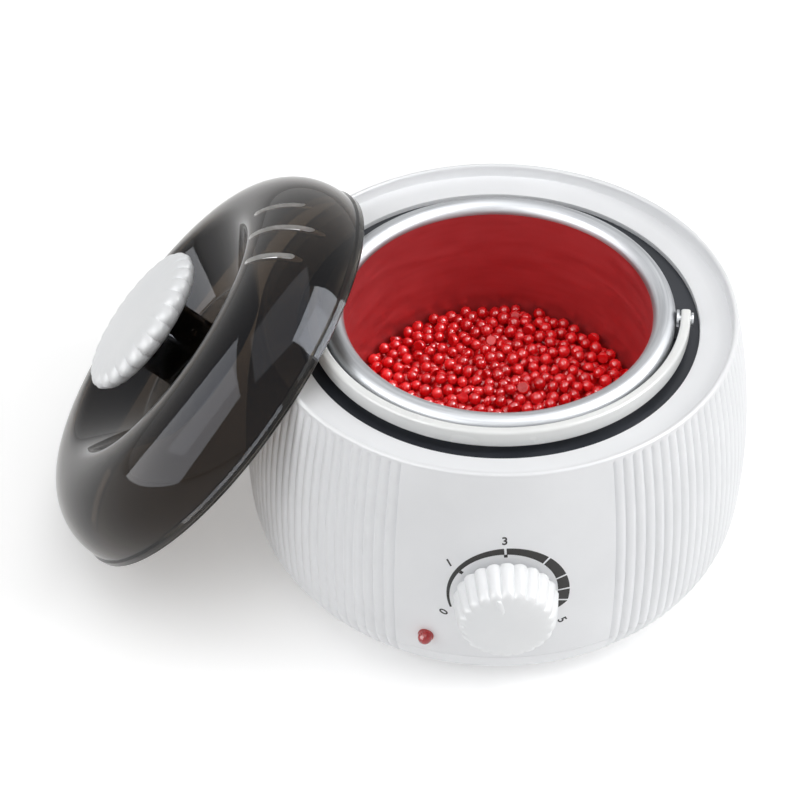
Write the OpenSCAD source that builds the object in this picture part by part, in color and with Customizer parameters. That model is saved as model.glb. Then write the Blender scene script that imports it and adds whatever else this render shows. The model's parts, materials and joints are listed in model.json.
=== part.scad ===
// Wax warmer with a lift-out pot, standing with its lid off and leaning at its left.
// Front is -Y, up is +Z, and the origin is on the housing's axis where the feet stand.

/* [Housing] */
// How far the barrel stands out past the recess for the lid
barrel_out = 10.2; // [9.6:0.1:11]
// Height at which the barrel is widest
belly_z = 46; // [42:1:50]
// Radius of the barrel's curve, seen from the side
barrel_curve = 260; // [220:5:320]
// Radius of the rounded lower edge
corner_r = 28; // [24:1:30]
// Height of the flat ring around the opening
ring_z = 106; // [103:1:110]
// Thickness of the flat ring
ring_t = 2; // [1.6:0.1:2.4]
// Width of the flat ring, from its opening to the lip
ring_w = 11.8; // [11:0.1:14]
// Clearance between the bail and the opening in the ring
opening_gap = 3.9; // [3:0.1:6]
// Height of the raised lip above the ring
lip_h = 5.3; // [4:0.1:7]
// Wall thickness of the housing and of the base
wall = 2.5; // [2:0.1:3]
// Height of the seam between base and housing
seam_z = 24; // [22:1:26]
// Half angle of the smooth front panel
panel_half = 24.4; // [22:0.2:27]
// Width of the grooves that edge the front panel
groove_w = 1.1; // [0.8:0.1:1.4]
// Depth of the grooves that edge the front panel
groove_d = 0.8; // [0.5:0.1:1.2]
// Height of the grooves' lower ends above the base's underside
groove_foot = 8; // [5:1:10]
// Height of the grooves' upper ends above the ring
groove_head = 1.5; // [0.5:0.5:3]

/* [Base] */
// Height of the base's underside above the table
base_z = 2; // [1.5:0.5:3]
// Radius of a rubber foot
foot_r = 7; // [6:0.5:8]
// Distance of the feet from the barrel's widest circle
foot_in = 39; // [37:1:41]
// Depth to which a foot sits in the base
foot_seat = 1; // [0.6:0.1:1.4]
// Distance of the base screws from the barrel's widest circle
post_in = 25; // [23:0.5:26]
// Radius of the screw posts
post_r = 4.5; // [4:0.1:5]
// Height of the tops of the housing's screw posts
post_top = 48; // [45:1:60]
// Width of the cooling slots in the base
vent_w = 3; // [2:0.5:4]
// Length of the cooling slots in the base
vent_l = 18; // [12:1:20]
// Distance from the cooling slots to the feet
vent_gap = 7; // [4:1:9]

/* [Heating] */
// Clearance between the pot and the heating bowl
bowl_gap = 1.3; // [0.8:0.1:2]
// Thickness of the heating bowl
bowl_t = 1.5; // [1.2:0.1:1.8]
// How far the bowl's flange reaches under the ring
flange_lap = 4; // [3:0.5:4.5]
// Radius of the heater
heater_r = 44; // [36:1:46]
// Thickness of the heater
heater_t = 4; // [3:0.5:5]
// Thickness of the plate that clamps the heater
clamp_t = 1.2; // [1:0.1:1.6]
// How far the clamp plate's edge lies inside the heater's
clamp_in = 6; // [4:1:8]
// Radius of the stud under the bowl
stud_r = 2.5; // [2:0.1:3]
// Length of the stud below the clamp plate
stud_l = 8; // [6:1:9]
// Height of the nut on the stud
nut_h = 4; // [3:0.5:5]
// Distance from the flange's edge to the clip screws
clip_gap = 5; // [4.5:0.1:5.4]
// Drop from the ring's underside to the seat of the clips
clip_drop = 12; // [10:0.5:14]
// Thickness of the clips
clip_t = 1.5; // [1.2:0.1:2]
// Width of the clips
clip_w = 10; // [8:0.5:12]
// Radius of the bosses that the clips are screwed to
clip_boss_r = 4; // [3.6:0.1:4.4]
// Radius of the thermal fuse
fuse_r = 2; // [1.5:0.1:2.5]
// Length of the thermal fuse
fuse_l = 14; // [12:1:16]
// Length of the fuse's bare ends
fuse_end = 4; // [3:0.5:5]
// Distance of the fuse from the axis
fuse_x = 16; // [14:1:20]

/* [Control] */
// Height of the control knob's axis
knob_z = 58.8; // [57:0.2:61]
// Radius of the control knob over its flutes
knob_r = 19; // [18:0.5:20]
// How far the control knob narrows towards its face
knob_slope = 2.4; // [1.8:0.2:3.2]
// How far the control knob stands out from the barrel
knob_out = 15.3; // [14:0.1:17]
// Number of flutes around the control knob
knob_flutes = 22; // [16:1:26]
// Where the pointer stands at rest, from the right, seen from the front
pointer_angle = 104; // [60:1:150]
// Radius of the thermostat's shaft
shaft_r = 3; // [2.5:0.1:3.2]
// Running clearance around the shaft
shaft_gap = 0.06; // [0.03:0.01:0.09]
// Radius of the thermostat's threaded bush
bush_r = 5; // [4.6:0.1:5.4]
// Depth of the thermostat's seat behind the barrel's widest circle
pad_in = 7; // [6:0.5:8]
// Radius of the boss inside the wall that the thermostat seats on
pad_r = 9; // [8.5:0.5:10]
// Width of the thermostat
body_w = 26; // [24:1:30]
// Height of the thermostat
body_h = 30; // [26:1:34]
// Depth of the thermostat behind its seat
body_d = 20; // [14:1:22]
// Thickness of the thermostat's shoulder, which meets the seat
body_step = 2; // [1.5:0.5:3]
// Radius of the indicator lamp
lamp_r = 2.6; // [2.3:0.1:3]
// Height of the indicator lamp
lamp_z = 33.5; // [32:0.5:38]
// Angle of the indicator lamp, left of the front
lamp_angle = 17; // [15:1:19]
// Height of the cord entry
cord_z = 38; // [36:1:44]
// Radius of the cord entry's bore
cord_r = 3.6; // [3.2:0.1:4]
// Wall thickness of the cord gland
gland_t = 2.4; // [2:0.1:3]
// How far the gland reaches inside the wall
gland_in = 8; // [7:0.5:10]
// Thickness of the gland's outer collar
collar_t = 2.2; // [1.8:0.1:3]
// Length of the gland's tapered nose
nose_l = 5; // [4:0.5:8]
// Length of the lamp holder behind the wall
holder_l = 16; // [14:1:18]
// Wall thickness of the lamp holder
holder_t = 1.6; // [1.2:0.1:2]

/* [Wiring and screws] */
// Distance of the terminal block from the barrel's widest circle
block_in = 39; // [36:1:41]
// Height of the terminal block
block_h = 11; // [9:1:13]
// Width of the terminal block
block_w = 36; // [32:1:40]
// Depth of the terminal block
block_d = 16; // [14:1:18]
// Distance from one pole to the next
pole_pitch = 12; // [10:1:13]
// Radius of the poles' wells
pole_r = 2.6; // [2.2:0.1:3]
// Radius of the heater's leads
wire_r = 1; // [0.7:0.1:1.2]
// How far the leads run below the clamp plate
lead_drop = 8.1; // [6:0.1:9]
// Radius of every self-tapping screw
screw_r = 1.45; // [1.3:0.05:1.6]
// Radius of the screws' heads
head_r = 2.8; // [2.5:0.1:3.2]
// Height of the screws' heads
head_h = 2.2; // [1.8:0.1:2.4]
// Length of the base screws
base_screw_l = 26; // [20:1:30]
// Height at which the base screws' heads seat
screw_seat = 14; // [10:1:18]
// Length of the clip screws
clip_screw_l = 10; // [8:0.5:11]
// Length of the lid's screw
lid_screw_l = 9.5; // [8:0.5:10]
// Thickness of the lid's washer
washer_t = 0.8; // [0.6:0.1:1.2]
// Radius of the lid's washer
washer_r = 5; // [4:0.5:6]

/* [Pot] */
// Inner radius of the pot
pot_r = 57.5; // [55:0.5:62]
// Wall thickness of the pot
pot_t = 0.8; // [0.6:0.1:1]
// Depth of the pot from rim to floor
pot_depth = 78; // [74:1:80]
// Height of the rim's crest above the ring
rim_rise = 7.6; // [6.5:0.1:8]
// Outer radius of the rolled rim's tube
roll_r = 4.2; // [3.8:0.1:4.2]
// Radius of the pot's rounded bottom edge
pot_corner = 7; // [5:1:9]
// Depth of the wax
wax_depth = 29; // [10:1:36]
// Clearance between the wax and the pot's wall
wax_gap = 0.3; // [0.2:0.1:0.5]
// Thickness of the ears
ear_t = 0.9; // [0.7:0.1:1.1]
// Width of the ears
ear_w = 9; // [8:0.5:11]

/* [Bail] */
// Clearance between the ears and the bail
bail_gap = 0.65; // [0.45:0.05:1.5]
// Thickness of the bail's strap
bail_t = 3.6; // [2.5:0.1:3.8]
// Width of the bail's strap
bail_w = 7; // [6:0.2:7.2]
// How far the pot stands turned, which brings the bail's right pivot forward
bail_turn = 6.5; // [0:0.5:12]
// Height of the bail's pivots above the ring
pivot_rise = 4.6; // [4.4:0.1:5]
// Radius of the bail's pins
pin_r = 1.5; // [1.2:0.1:1.7]
// Clearance between the bail and the heads of its pins
head_gap = 0.25; // [0.1:0.05:0.5]
// Thickness of the pins' heads
pin_head = 0.8; // [0.6:0.1:1.2]
// Radius of the pins' heads
pin_head_r = 2.6; // [2.2:0.1:3]

/* [Lid] */
// Clearance between the lid's rim and the housing's lip
lid_gap = 0.8; // [0.5:0.1:1.2]
// Height of the lid's crest above its rim
lid_h = 32; // [30:0.5:34]
// Distance of the lid's crest from its rim
crest_in = 28; // [27:0.5:32]
// Radius of the shoulder's side curve
shoulder_r = 19; // [17:0.5:20]
// Thickness of the lid's wall
lid_t = 2.2; // [1.8:0.1:2.6]
// Height of the rim's straight band
band_h = 3.6; // [3:0.2:5]
// Step from the rim's band to the shoulder
band_step = 0.8; // [0.4:0.1:1]
// Radius of the crest's inner curve
crest_curve = 9; // [8:0.5:10]
// Height of the well's floor above the rim
well_h = 13; // [12.5:0.5:15]
// Slope of the well's side
well_slope = 43; // [40:1:48]
// Side of the square post in the well
post_side = 21.4; // [20:0.2:23]
// Height of the post's top above the rim
post_h = 34.5; // [33:0.5:36]
// Radius of the lid's knob
lid_knob_r = 30.8; // [29:0.1:32]
// Radius of the vent hole in the post's side
post_hole_r = 1.3; // [1:0.1:2]
// Height of the vent hole above the rim
post_hole_z = 22; // [18:0.5:26]
// Thickness of the lid's knob
lid_knob_t = 10.5; // [9:0.5:12]
// Number of scallops around the lid's knob
lid_knob_lobes = 26; // [20:1:30]
// Width of the three slots in the lid
slot_w = 2.6; // [2:0.1:3]
// Distance of the slots' middles from the lid's rim
slot_in = 17; // [16.5:0.5:22]
// Lean of the lid from lying flat
lid_lean = 49.5; // [49:0.5:51]
// How far the leaning lid stands behind the left side
lid_side = 7.2; // [0:0.2:12]
// Gap that the leaning lid keeps to the lip and the table
lean_gap = 0.3; // [0.2:0.1:0.6]

/* [Hidden] */
thin = 0.05;
fine = 240;
mid = 96;
small = 48;

// The chain of fits from the pot out to the barrel
bowl_r = pot_r + pot_t + bowl_gap;
roll_mid = pot_r + roll_r;
rim_gap = 0.05;
ear_x = roll_mid + roll_r + rim_gap;
bail_r = ear_x + ear_t + bail_gap;
opening_r = bail_r + bail_t + opening_gap;
flange_r = opening_r + flange_lap;
clip_ring = flange_r + clip_gap;
recess_r = opening_r + ring_w;
barrel_r = recess_r + barrel_out;
lid_r = recess_r - lid_gap;
crest_r = lid_r - crest_in;
slot_ring = lid_r - slot_in;

// Outline of the housing: a barrel arc that meets a rounded lower edge
barrel_x = barrel_r - barrel_curve;
corner_z = base_z + corner_r;
corner_x = barrel_x + sqrt(pow(barrel_curve - corner_r, 2) - pow(belly_z - corner_z, 2));
tangent_angle = atan2(corner_z - belly_z, corner_x - barrel_x);
function barrel_at(z) = barrel_x + sqrt(pow(barrel_curve, 2) - pow(z - belly_z, 2));

lip_top = ring_z + lip_h;
lip_drop = 1.2;
lip_half = (barrel_at(lip_top - lip_drop) - recess_r) / 2;
lip_mid = recess_r + lip_half;
lip_round_z = lip_top - lip_half;

ring_under = ring_z - ring_t;
flange_z = ring_under - bowl_t;
pot_floor = ring_z + rim_rise - pot_depth;
bowl_floor = pot_floor - pot_t;
bowl_under = bowl_floor - bowl_t;
heater_z = bowl_under - heater_t;
clamp_z = heater_z - clamp_t;

post_angles = [45, 135, 225, 315];
foot_angles = [0, 90, 180, 270];
post_ring = barrel_r - post_in;
foot_ring = barrel_r - foot_in;
foot_edge = 0.8;
vent_out = foot_ring - foot_r - vent_gap;
base_floor = base_z + wall;
seam_lap = 3;
head_hole_r = head_r + 0.5;

clip_angles = [90, 210, 330];
clip_z = ring_under - clip_drop;
clip_step = clip_ring - flange_r;

knob_face_r = knob_r - knob_slope;
knob_gap = 0.6;
knob_face_y = barrel_r + knob_out;
knob_back_y = barrel_r + knob_gap;
shaft_in = 3;
pad_y = barrel_r - pad_in;
body_y = pad_y - body_d;
bush_end = knob_back_y + 4.4;
tab_x = 8;
tab_w = 6;
tab_drop = 6;
spot_depth = 1;
spot_y = barrel_at(knob_z) - spot_depth;
bush_nut_r = bush_r + 2.6;
bush_nut_h = 2.4;

gland_r = cord_r + gland_t;
gland_y = barrel_at(cord_z) - wall - gland_in;
collar_gap = 0.3;
collar_y = wall + gland_in + collar_gap;
gland_nut_h = 4;
gland_nut_r = gland_r + 3.6;
lamp_y = barrel_at(lamp_z);
lamp_in = 3;
lamp_out = 2;

roll_z = ring_z + rim_rise - roll_r;
pivot_z = ring_z + pivot_rise;
ear_r = 3.4;
foot_t = 1.2;

fuse_clip_t = 0.6;
fuse_z = clamp_z - fuse_r - fuse_clip_t;
block_y = barrel_r - block_in;
pole_floor = 4;
entry_z = base_floor + block_h - 5;
lead_z = clamp_z - lead_drop;

slot_mid = 4;
slot_pitch = 13.2;
slot_turn = -14;
slot_lengths = [17, 23, 19];

// Where the leaning lid rests: its rim on the table and on both sides of the lip
lean_up = lip_top / sin(lid_lean) - lid_r;
lean_chord = sqrt(pow(lid_r - band_step - lid_t, 2) - pow(lean_up, 2));
lean_x = sqrt(pow(lip_mid + lean_gap, 2) - pow(lean_chord, 2)) + lean_up * cos(lid_lean);
lean_z = lean_gap + lid_r * sin(lid_lean);

band_r = lid_r - band_step;
dome_a = band_r - crest_r;
dome_b = lid_h - band_h;
top_r = (pow(dome_a - shoulder_r, 2) + pow(dome_b, 2) - pow(shoulder_r, 2))
    / (2 * (dome_b - shoulder_r));
top_z = lid_h - top_r;
blend_angle = atan2(band_h - top_z, dome_a - shoulder_r);
well_in = crest_r - crest_curve * sin(well_slope);
well_drop = lid_h - crest_curve * (1 - cos(well_slope)) - well_h;
well_foot = well_in - well_drop / tan(well_slope);

module on_ring(radius, angles) {
    for (a = angles) rotate([0, 0, a]) translate([radius, 0, 0]) children();
}

module tube(r_out, r_in, h) {
    difference() {
        cylinder(r = r_out, h = h, $fn = mid);
        translate([0, 0, -1]) cylinder(r = r_in, h = h + 2, $fn = mid);
    }
}

// Points along an arc, in steps of at most so many degrees, without its first point
function arc(centre, r, from, to, step = 6) =
    let (count = ceil(abs(to - from) / step))
    [for (i = [1:count]) let (a = from + (to - from) * i / count)
        centre + r * [cos(a), sin(a)]];

// A lead wire: an eight-sided tube that runs through its points, mitred at each bend
function unit(v) = v / norm(v);
function heading(points, i) =
    unit((i < len(points) - 1 ? unit(points[i + 1] - points[i]) : [0, 0, 0])
        + (i > 0 ? unit(points[i] - points[i - 1]) : [0, 0, 0]));
module wire(points, r) {
    sides = 8;
    corners = [for (i = [0:len(points) - 1]) let (
        d = heading(points, i),
        side = unit(cross(d, abs(d[2]) > 0.9 ? [0, 1, 0] : [0, 0, 1])),
        up = cross(side, d))
        for (k = [0:sides - 1]) points[i]
            + r * cos(k * 360 / sides) * side + r * sin(k * 360 / sides) * up];
    last = (len(points) - 1) * sides;
    polyhedron(points = corners, faces = concat(
        [[for (k = [0:sides - 1]) k]],
        [for (i = [0:len(points) - 2]) for (k = [0:sides - 1]) let (
            a = i * sides + k,
            b = i * sides + (k + 1) % sides)
            each [[a, b + sides, b], [a, a + sides, b + sides]]],
        [[for (k = [sides - 1:-1:0]) last + k]]));
}

// Everything inside the housing's outline, drawn in by an even amount
module outline(inset) {
    low = [corner_x, corner_z];
    side = [barrel_x, belly_z];
    top_angle = asin((lip_top - belly_z) / barrel_curve);
    points = concat(
        [[0, base_z + inset], [corner_x, base_z + inset]],
        arc(low, corner_r - inset, -90, tangent_angle),
        arc(side, barrel_curve - inset, tangent_angle, 0, 1.5),
        arc(side, barrel_curve - inset, 0, top_angle, 1.5));
    polygon(concat(points, [[0, points[len(points) - 1][1]]]));
}

module outline_band(inset, z0, z1) {
    intersection() {
        outline(inset);
        translate([0, z0]) square([barrel_r, z1 - z0]);
    }
}

module solid_band(inset, z0, z1) {
    rotate_extrude($fn = fine) outline_band(inset, z0, z1);
}

// Upright grooves at both edges of the smooth front panel
module panel_grooves(z0, z1) {
    angle = groove_w / barrel_r * 180 / PI;
    for (a = [-90 - panel_half - angle, -90 + panel_half]) rotate([0, 0, a])
        rotate_extrude(angle = angle, $fn = fine) difference() {
            translate([recess_r - wall, z0]) square([barrel_r, z1 - z0]);
            outline(groove_d);
        }
}

module housing_shell() {
    rotate_extrude($fn = fine) {
        difference() {
            outline_band(0, seam_z, lip_round_z - 0.3);
            outline_band(wall, seam_z - 1, ring_under);
            translate([0, ring_z]) square([recess_r, lip_h]);
            square([opening_r, lip_top]);
        }
        translate([lip_mid, lip_round_z]) circle(r = lip_half - 0.02, $fn = small);
    }
}

module housing_post() {
    translate([0, 0, seam_z]) cylinder(r = post_r, h = post_top - seam_z, $fn = small);
    translate([0, -wall / 2, seam_z + 4])
        cube([barrel_r - post_ring, wall, post_top - seam_z - 8]);
}

module housing() {
    color("#f2f3f3") difference() {
        union() {
            housing_shell();
            intersection() {
                on_ring(post_ring, post_angles) housing_post();
                solid_band(wall / 2, seam_z, post_top);
            }
            intersection() {
                on_ring(clip_ring, clip_angles) translate([0, 0, clip_z])
                    cylinder(r = clip_boss_r, h = ring_under - clip_z + thin, $fn = small);
                solid_band(wall / 2, clip_z, ring_z);
            }
            intersection() {
                translate([0, -pad_y, knob_z]) rotate([90, 0, 0])
                    cylinder(r = pad_r, h = pad_in + wall, $fn = small);
                solid_band(wall / 2, knob_z - pad_r - 1, knob_z + pad_r + 1);
            }
        }
        on_ring(post_ring, post_angles)
            translate([0, 0, seam_z - 1])
                cylinder(r = screw_r + thin, h = post_top - seam_z - 2, $fn = small);
        on_ring(clip_ring, clip_angles) translate([0, 0, clip_z - 1])
            cylinder(r = screw_r + thin, h = clip_drop - 1, $fn = small);
        translate([0, -pad_y + 1, knob_z]) rotate([90, 0, 0])
            cylinder(r = bush_r + thin, h = 20, $fn = small);
        translate([0, -spot_y, knob_z]) rotate([90, 0, 0])
            cylinder(r = bush_nut_r + 0.6, h = 20, $fn = small);
        rotate([0, 0, -lamp_angle]) translate([0, -lamp_y + wall + 1, lamp_z]) rotate([90, 0, 0])
            cylinder(r = lamp_r + thin, h = wall * 3, $fn = small);
        translate([0, gland_y + gland_in - 1, cord_z]) rotate([-90, 0, 0])
            cylinder(r = gland_r + 0.1, h = wall * 3, $fn = small);
        panel_grooves(seam_z - 1, ring_z + groove_head);
    }
}

module base_cover() {
    color("#f0f1f1") difference() {
        union() {
            rotate_extrude($fn = fine) {
                difference() {
                    outline_band(0, base_z, seam_z);
                    outline_band(wall, base_floor, seam_z + 1);
                }
                difference() {
                    outline_band(wall + 0.3, seam_z - seam_lap, seam_z + seam_lap);
                    outline_band(wall + 1.8, seam_z - seam_lap - 1, seam_z + seam_lap + 1);
                }
                difference() {
                    outline_band(wall - 0.1, seam_z - seam_lap, seam_z - seam_lap / 2);
                    outline_band(wall + 1.8, seam_z - seam_lap - 1, seam_z);
                }
            }
            on_ring(post_ring, post_angles)
                translate([0, 0, base_floor - thin])
                    cylinder(r = post_r, h = seam_z - base_floor + thin, $fn = small);
        }
        on_ring(post_ring, post_angles) {
            translate([0, 0, base_z - 1]) cylinder(r = screw_r + 0.25, h = seam_z, $fn = small);
            translate([0, 0, base_z - 1])
                cylinder(r = head_hole_r, h = screw_seat - base_z + 1, $fn = small);
        }
        on_ring(foot_ring, foot_angles) translate([0, 0, base_z - 1])
            cylinder(r = foot_r + 0.1, h = 1 + foot_seat, $fn = mid);
        for (a = [15:30:345]) rotate([0, 0, a])
            translate([vent_out - vent_l, -vent_w / 2, base_z - 1]) cube([vent_l, vent_w, wall + 2]);
        panel_grooves(base_z + groove_foot, seam_z + 1);
    }
}

module rubber_feet() {
    color("#3a3a3c") on_ring(foot_ring, foot_angles) {
        cylinder(r1 = foot_r - 0.6, r2 = foot_r, h = foot_edge, $fn = mid);
        translate([0, 0, foot_edge])
            cylinder(r = foot_r, h = base_z + foot_seat - foot_edge, $fn = mid);
    }
}

// A self-tapping screw that points up, its head's top at height zero
module screw(length) {
    cross_w = 0.8;
    difference() {
        translate([0, 0, -head_h]) cylinder(r = head_r, h = head_h, $fn = small);
        for (a = [0, 90]) rotate([0, 0, a])
            translate([-head_r * 0.6, -cross_w / 2, -head_h - 1])
                cube([head_r * 1.2, cross_w, 1 + cross_w]);
    }
    cylinder(r = screw_r, h = length, $fn = small);
}

module base_screws() {
    color("#b9bcc0") on_ring(post_ring, post_angles)
        translate([0, 0, screw_seat]) screw(base_screw_l);
}

// Filled outline of a cup with a rounded bottom edge
module cup(r, z0, z1, corner) {
    polygon(concat([[0, z0], [r - corner, z0]], arc([r - corner, z0 + corner], corner, -90, 0),
        [[r, z1], [0, z1]]));
}

module heating_bowl() {
    corner = pot_corner + pot_t;
    color("#2f3236") {
        rotate_extrude($fn = fine) {
            difference() {
                cup(bowl_r + bowl_t, bowl_under, ring_under, corner + bowl_t);
                cup(bowl_r, bowl_floor, ring_z, corner);
            }
            translate([bowl_r, flange_z]) square([flange_r - bowl_r, bowl_t]);
        }
        translate([0, 0, clamp_z - stud_l])
            cylinder(r = stud_r, h = bowl_under - clamp_z + stud_l + thin, $fn = small);
    }
}

module bowl_clip() {
    riser_t = 0.8;
    back = -clip_step + 0.1;
    difference() {
        union() {
            translate([back, -clip_w / 2, clip_z - clip_t])
                cube([clip_step + 3.2, clip_w, clip_t]);
            translate([back, -clip_w / 2, clip_z - clip_t])
                cube([riser_t, clip_w, flange_z - clip_z + clip_t]);
        }
        translate([0, 0, clip_z - clip_t - 1])
            cylinder(r = screw_r + 0.2, h = clip_t + 2, $fn = small);
    }
    translate([-clip_step - 3, -clip_w / 2, flange_z - clip_t])
        cube([3.1 + riser_t, clip_w, clip_t]);
}

module bowl_clips() {
    color("#c4c7ca") on_ring(clip_ring, clip_angles) bowl_clip();
}

module clip_screws() {
    color("#b9bcc0") on_ring(clip_ring, clip_angles) translate([0, 0, clip_z - clip_t])
        screw(clip_screw_l);
}

module heater_plate() {
    color("#cfc6b2") translate([0, 0, heater_z]) difference() {
        cylinder(r = heater_r, h = heater_t, $fn = fine);
        translate([0, 0, -1]) cylinder(r = stud_r + 0.3, h = heater_t + 2, $fn = small);
    }
}

module heater_clamp() {
    color("#c4c7ca") translate([0, 0, clamp_z]) difference() {
        cylinder(r = heater_r - clamp_in, h = clamp_t, $fn = fine);
        translate([0, 0, -1]) cylinder(r = stud_r + 0.2, h = clamp_t + 2, $fn = small);
        on_ring(heater_r - clamp_in * 3, [0:60:300]) translate([0, 0, -1])
            cylinder(r = clamp_in - 1, h = clamp_t + 2, $fn = small);
    }
}

module heater_nut() {
    color("#b9bcc0") translate([0, 0, clamp_z - nut_h]) difference() {
        cylinder(r = stud_r * 1.85, h = nut_h, $fn = 6);
        translate([0, 0, -1]) cylinder(r = stud_r + thin, h = nut_h + 2, $fn = small);
    }
}

module thermal_fuse() {
    pin = wire_r / 2;
    color("#e8e6df") translate([fuse_x - fuse_l / 2, 0, fuse_z]) rotate([0, 90, 0]) {
        cylinder(r = fuse_r, h = fuse_l, $fn = small);
        translate([0, 0, -fuse_end]) cylinder(r = pin, h = fuse_end + thin, $fn = 16);
        translate([0, 0, fuse_l - thin]) cylinder(r = pin, h = fuse_end, $fn = 16);
    }
}

module fuse_clip() {
    width = 6;
    tab_t = 0.5;
    color("#c4c7ca") translate([fuse_x - width / 2, 0, 0]) {
        difference() {
            translate([0, 0, fuse_z]) rotate([0, 90, 0])
                cylinder(r = fuse_r + fuse_clip_t, h = width, $fn = small);
            translate([-1, 0, fuse_z]) rotate([0, 90, 0])
                cylinder(r = fuse_r + thin, h = width + 2, $fn = small);
        }
        translate([0, 0, clamp_z - tab_t]) cube([width, fuse_r + 5.5, tab_t]);
    }
}

module thermostat_body() {
    color("#e9e7e1") difference() {
        union() {
            translate([-body_w / 2, -pad_y + body_step, knob_z - body_h / 2])
                cube([body_w, body_d - body_step, body_h]);
            translate([0, -pad_y, knob_z]) rotate([-90, 0, 0])
                cylinder(r = bush_r * 1.5, h = body_step + thin, $fn = small);
            translate([0, -bush_end, knob_z]) rotate([-90, 0, 0])
                cylinder(r = bush_r, h = bush_end - pad_y + thin, $fn = small);
        }
        translate([0, -knob_face_y, knob_z]) rotate([-90, 0, 0])
            cylinder(r = shaft_r + shaft_gap, h = knob_face_y - pad_y + body_d / 2, $fn = small);
    }
}

module thermostat_terminals() {
    color("#c9a24e") for (s = [-1, 1])
        translate([s * tab_x - tab_w / 2, -body_y, knob_z - tab_drop]) cube([tab_w, 5, 0.8]);
}

module thermostat_nut() {
    color("#b9bcc0") translate([0, -spot_y, knob_z]) rotate([90, 0, 0])
        difference() {
            cylinder(r = bush_nut_r, h = bush_nut_h, $fn = 6);
            translate([0, 0, -1]) cylinder(r = bush_r + thin, h = bush_nut_h + 2, $fn = small);
        }
}

module thermostat_shaft() {
    color("#c4c7ca") translate([0, -knob_face_y + shaft_in, knob_z]) rotate([-90, 0, 0])
        difference() {
            cylinder(r = shaft_r, h = knob_face_y - pad_y + 4, $fn = small);
            rotate([0, 0, -pointer_angle]) translate([shaft_r * 0.6, -shaft_r - 1, -1])
                cube([shaft_r, shaft_r * 2 + 2, knob_out - 7]);
        }
}

// The control knob, drawn with its face up and its back at height zero
module knob_form() {
    h = knob_face_y - knob_back_y;
    lobe = PI * knob_r / knob_flutes;
    intersection() {
        union() {
            cylinder(r = knob_r - lobe * 0.6, h = h, $fn = fine);
            on_ring(knob_r - lobe, [for (i = [0:knob_flutes - 1]) i * 360 / knob_flutes])
                cylinder(r = lobe, h = h - 1, $fn = small);
        }
        rotate_extrude($fn = fine) polygon([[0, 0], [knob_r, 0], [knob_r, 1.5],
            [knob_face_r + 1, h - 2.2], [knob_face_r + 0.4, h - 1.2],
            [knob_face_r - 1.2, h - 0.3], [knob_face_r - 3, h], [0, h]]);
    }
    rotate([0, 0, pointer_angle]) translate([10, 0, h - 1.5]) {
        translate([0, -1, 0]) cube([knob_face_r - 11, 2, 2.1]);
        cylinder(r = 1, h = 2.1, $fn = small);
    }
}

module control_knob() {
    h = knob_face_y - knob_back_y;
    color("#f4f5f5") translate([0, -knob_back_y, knob_z]) rotate([90, 0, 0]) difference() {
        knob_form();
        translate([0, 0, -1]) tube(knob_r - 4, shaft_r + 2.6, h - 3);
        translate([0, 0, -1])
            cylinder(r = bush_r + 3, h = bush_end - knob_back_y + 2.2, $fn = mid);
        translate([0, 0, -1]) cylinder(r = shaft_r + thin, h = h - 2 + thin, $fn = small);
    }
}

module indicator_lens() {
    length = wall + lamp_in + lamp_out;
    color("#d8262a") rotate([0, 0, -lamp_angle])
        translate([0, -lamp_y + wall + lamp_in, lamp_z]) rotate([90, 0, 0]) {
            cylinder(r = lamp_r, h = length, $fn = small);
            translate([0, 0, length]) intersection() {
                sphere(r = lamp_r, $fn = small);
                translate([0, 0, lamp_r / 2]) cube([lamp_r * 3, lamp_r * 3, lamp_r], center = true);
            }
        }
}

module lamp_holder() {
    color("#dcdcd8") rotate([0, 0, -lamp_angle])
        translate([0, -lamp_y + wall + holder_l, lamp_z]) rotate([90, 0, 0]) difference() {
            cylinder(r = lamp_r + holder_t, h = holder_l - 0.4, $fn = small);
            translate([0, 0, holder_l - lamp_in - thin])
                cylinder(r = lamp_r + thin, h = lamp_in + 1, $fn = small);
        }
}

module cord_gland() {
    nose_z = collar_y + collar_t;
    color("#ececea") translate([0, gland_y, cord_z]) rotate([-90, 0, 0]) difference() {
        union() {
            cylinder(r = gland_r, h = collar_y + 0.7, $fn = mid);
            translate([0, 0, collar_y]) cylinder(r = gland_r + 2.6, h = collar_t, $fn = mid);
            translate([0, 0, nose_z])
                cylinder(r1 = gland_r + 1, r2 = gland_r - 0.4, h = nose_l, $fn = mid);
        }
        translate([0, 0, -1]) cylinder(r = cord_r, h = nose_z + nose_l + 2, $fn = mid);
    }
}

module gland_nut() {
    color("#ececea") translate([0, gland_y + gland_in - gland_nut_h - 1.2, cord_z])
        rotate([-90, 0, 0]) difference() {
            cylinder(r = gland_nut_r, h = gland_nut_h, $fn = 6);
            translate([0, 0, -1]) cylinder(r = gland_r + thin, h = gland_nut_h + 2, $fn = mid);
        }
}

module terminal_block() {
    color("#e6e6e2") difference() {
        translate([-block_w / 2, block_y - block_d / 2, base_floor])
            cube([block_w, block_d, block_h]);
        for (i = [-1:1]) translate([i * pole_pitch, block_y, base_floor + pole_floor])
            cylinder(r = pole_r, h = block_h, $fn = small);
    }
}

module terminal_screws() {
    color("#c9a24e") for (i = [-1:1])
        translate([i * pole_pitch, block_y, base_floor + pole_floor])
            cylinder(r = pole_r - 0.1, h = block_h - pole_floor - 1, $fn = small);
}

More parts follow.
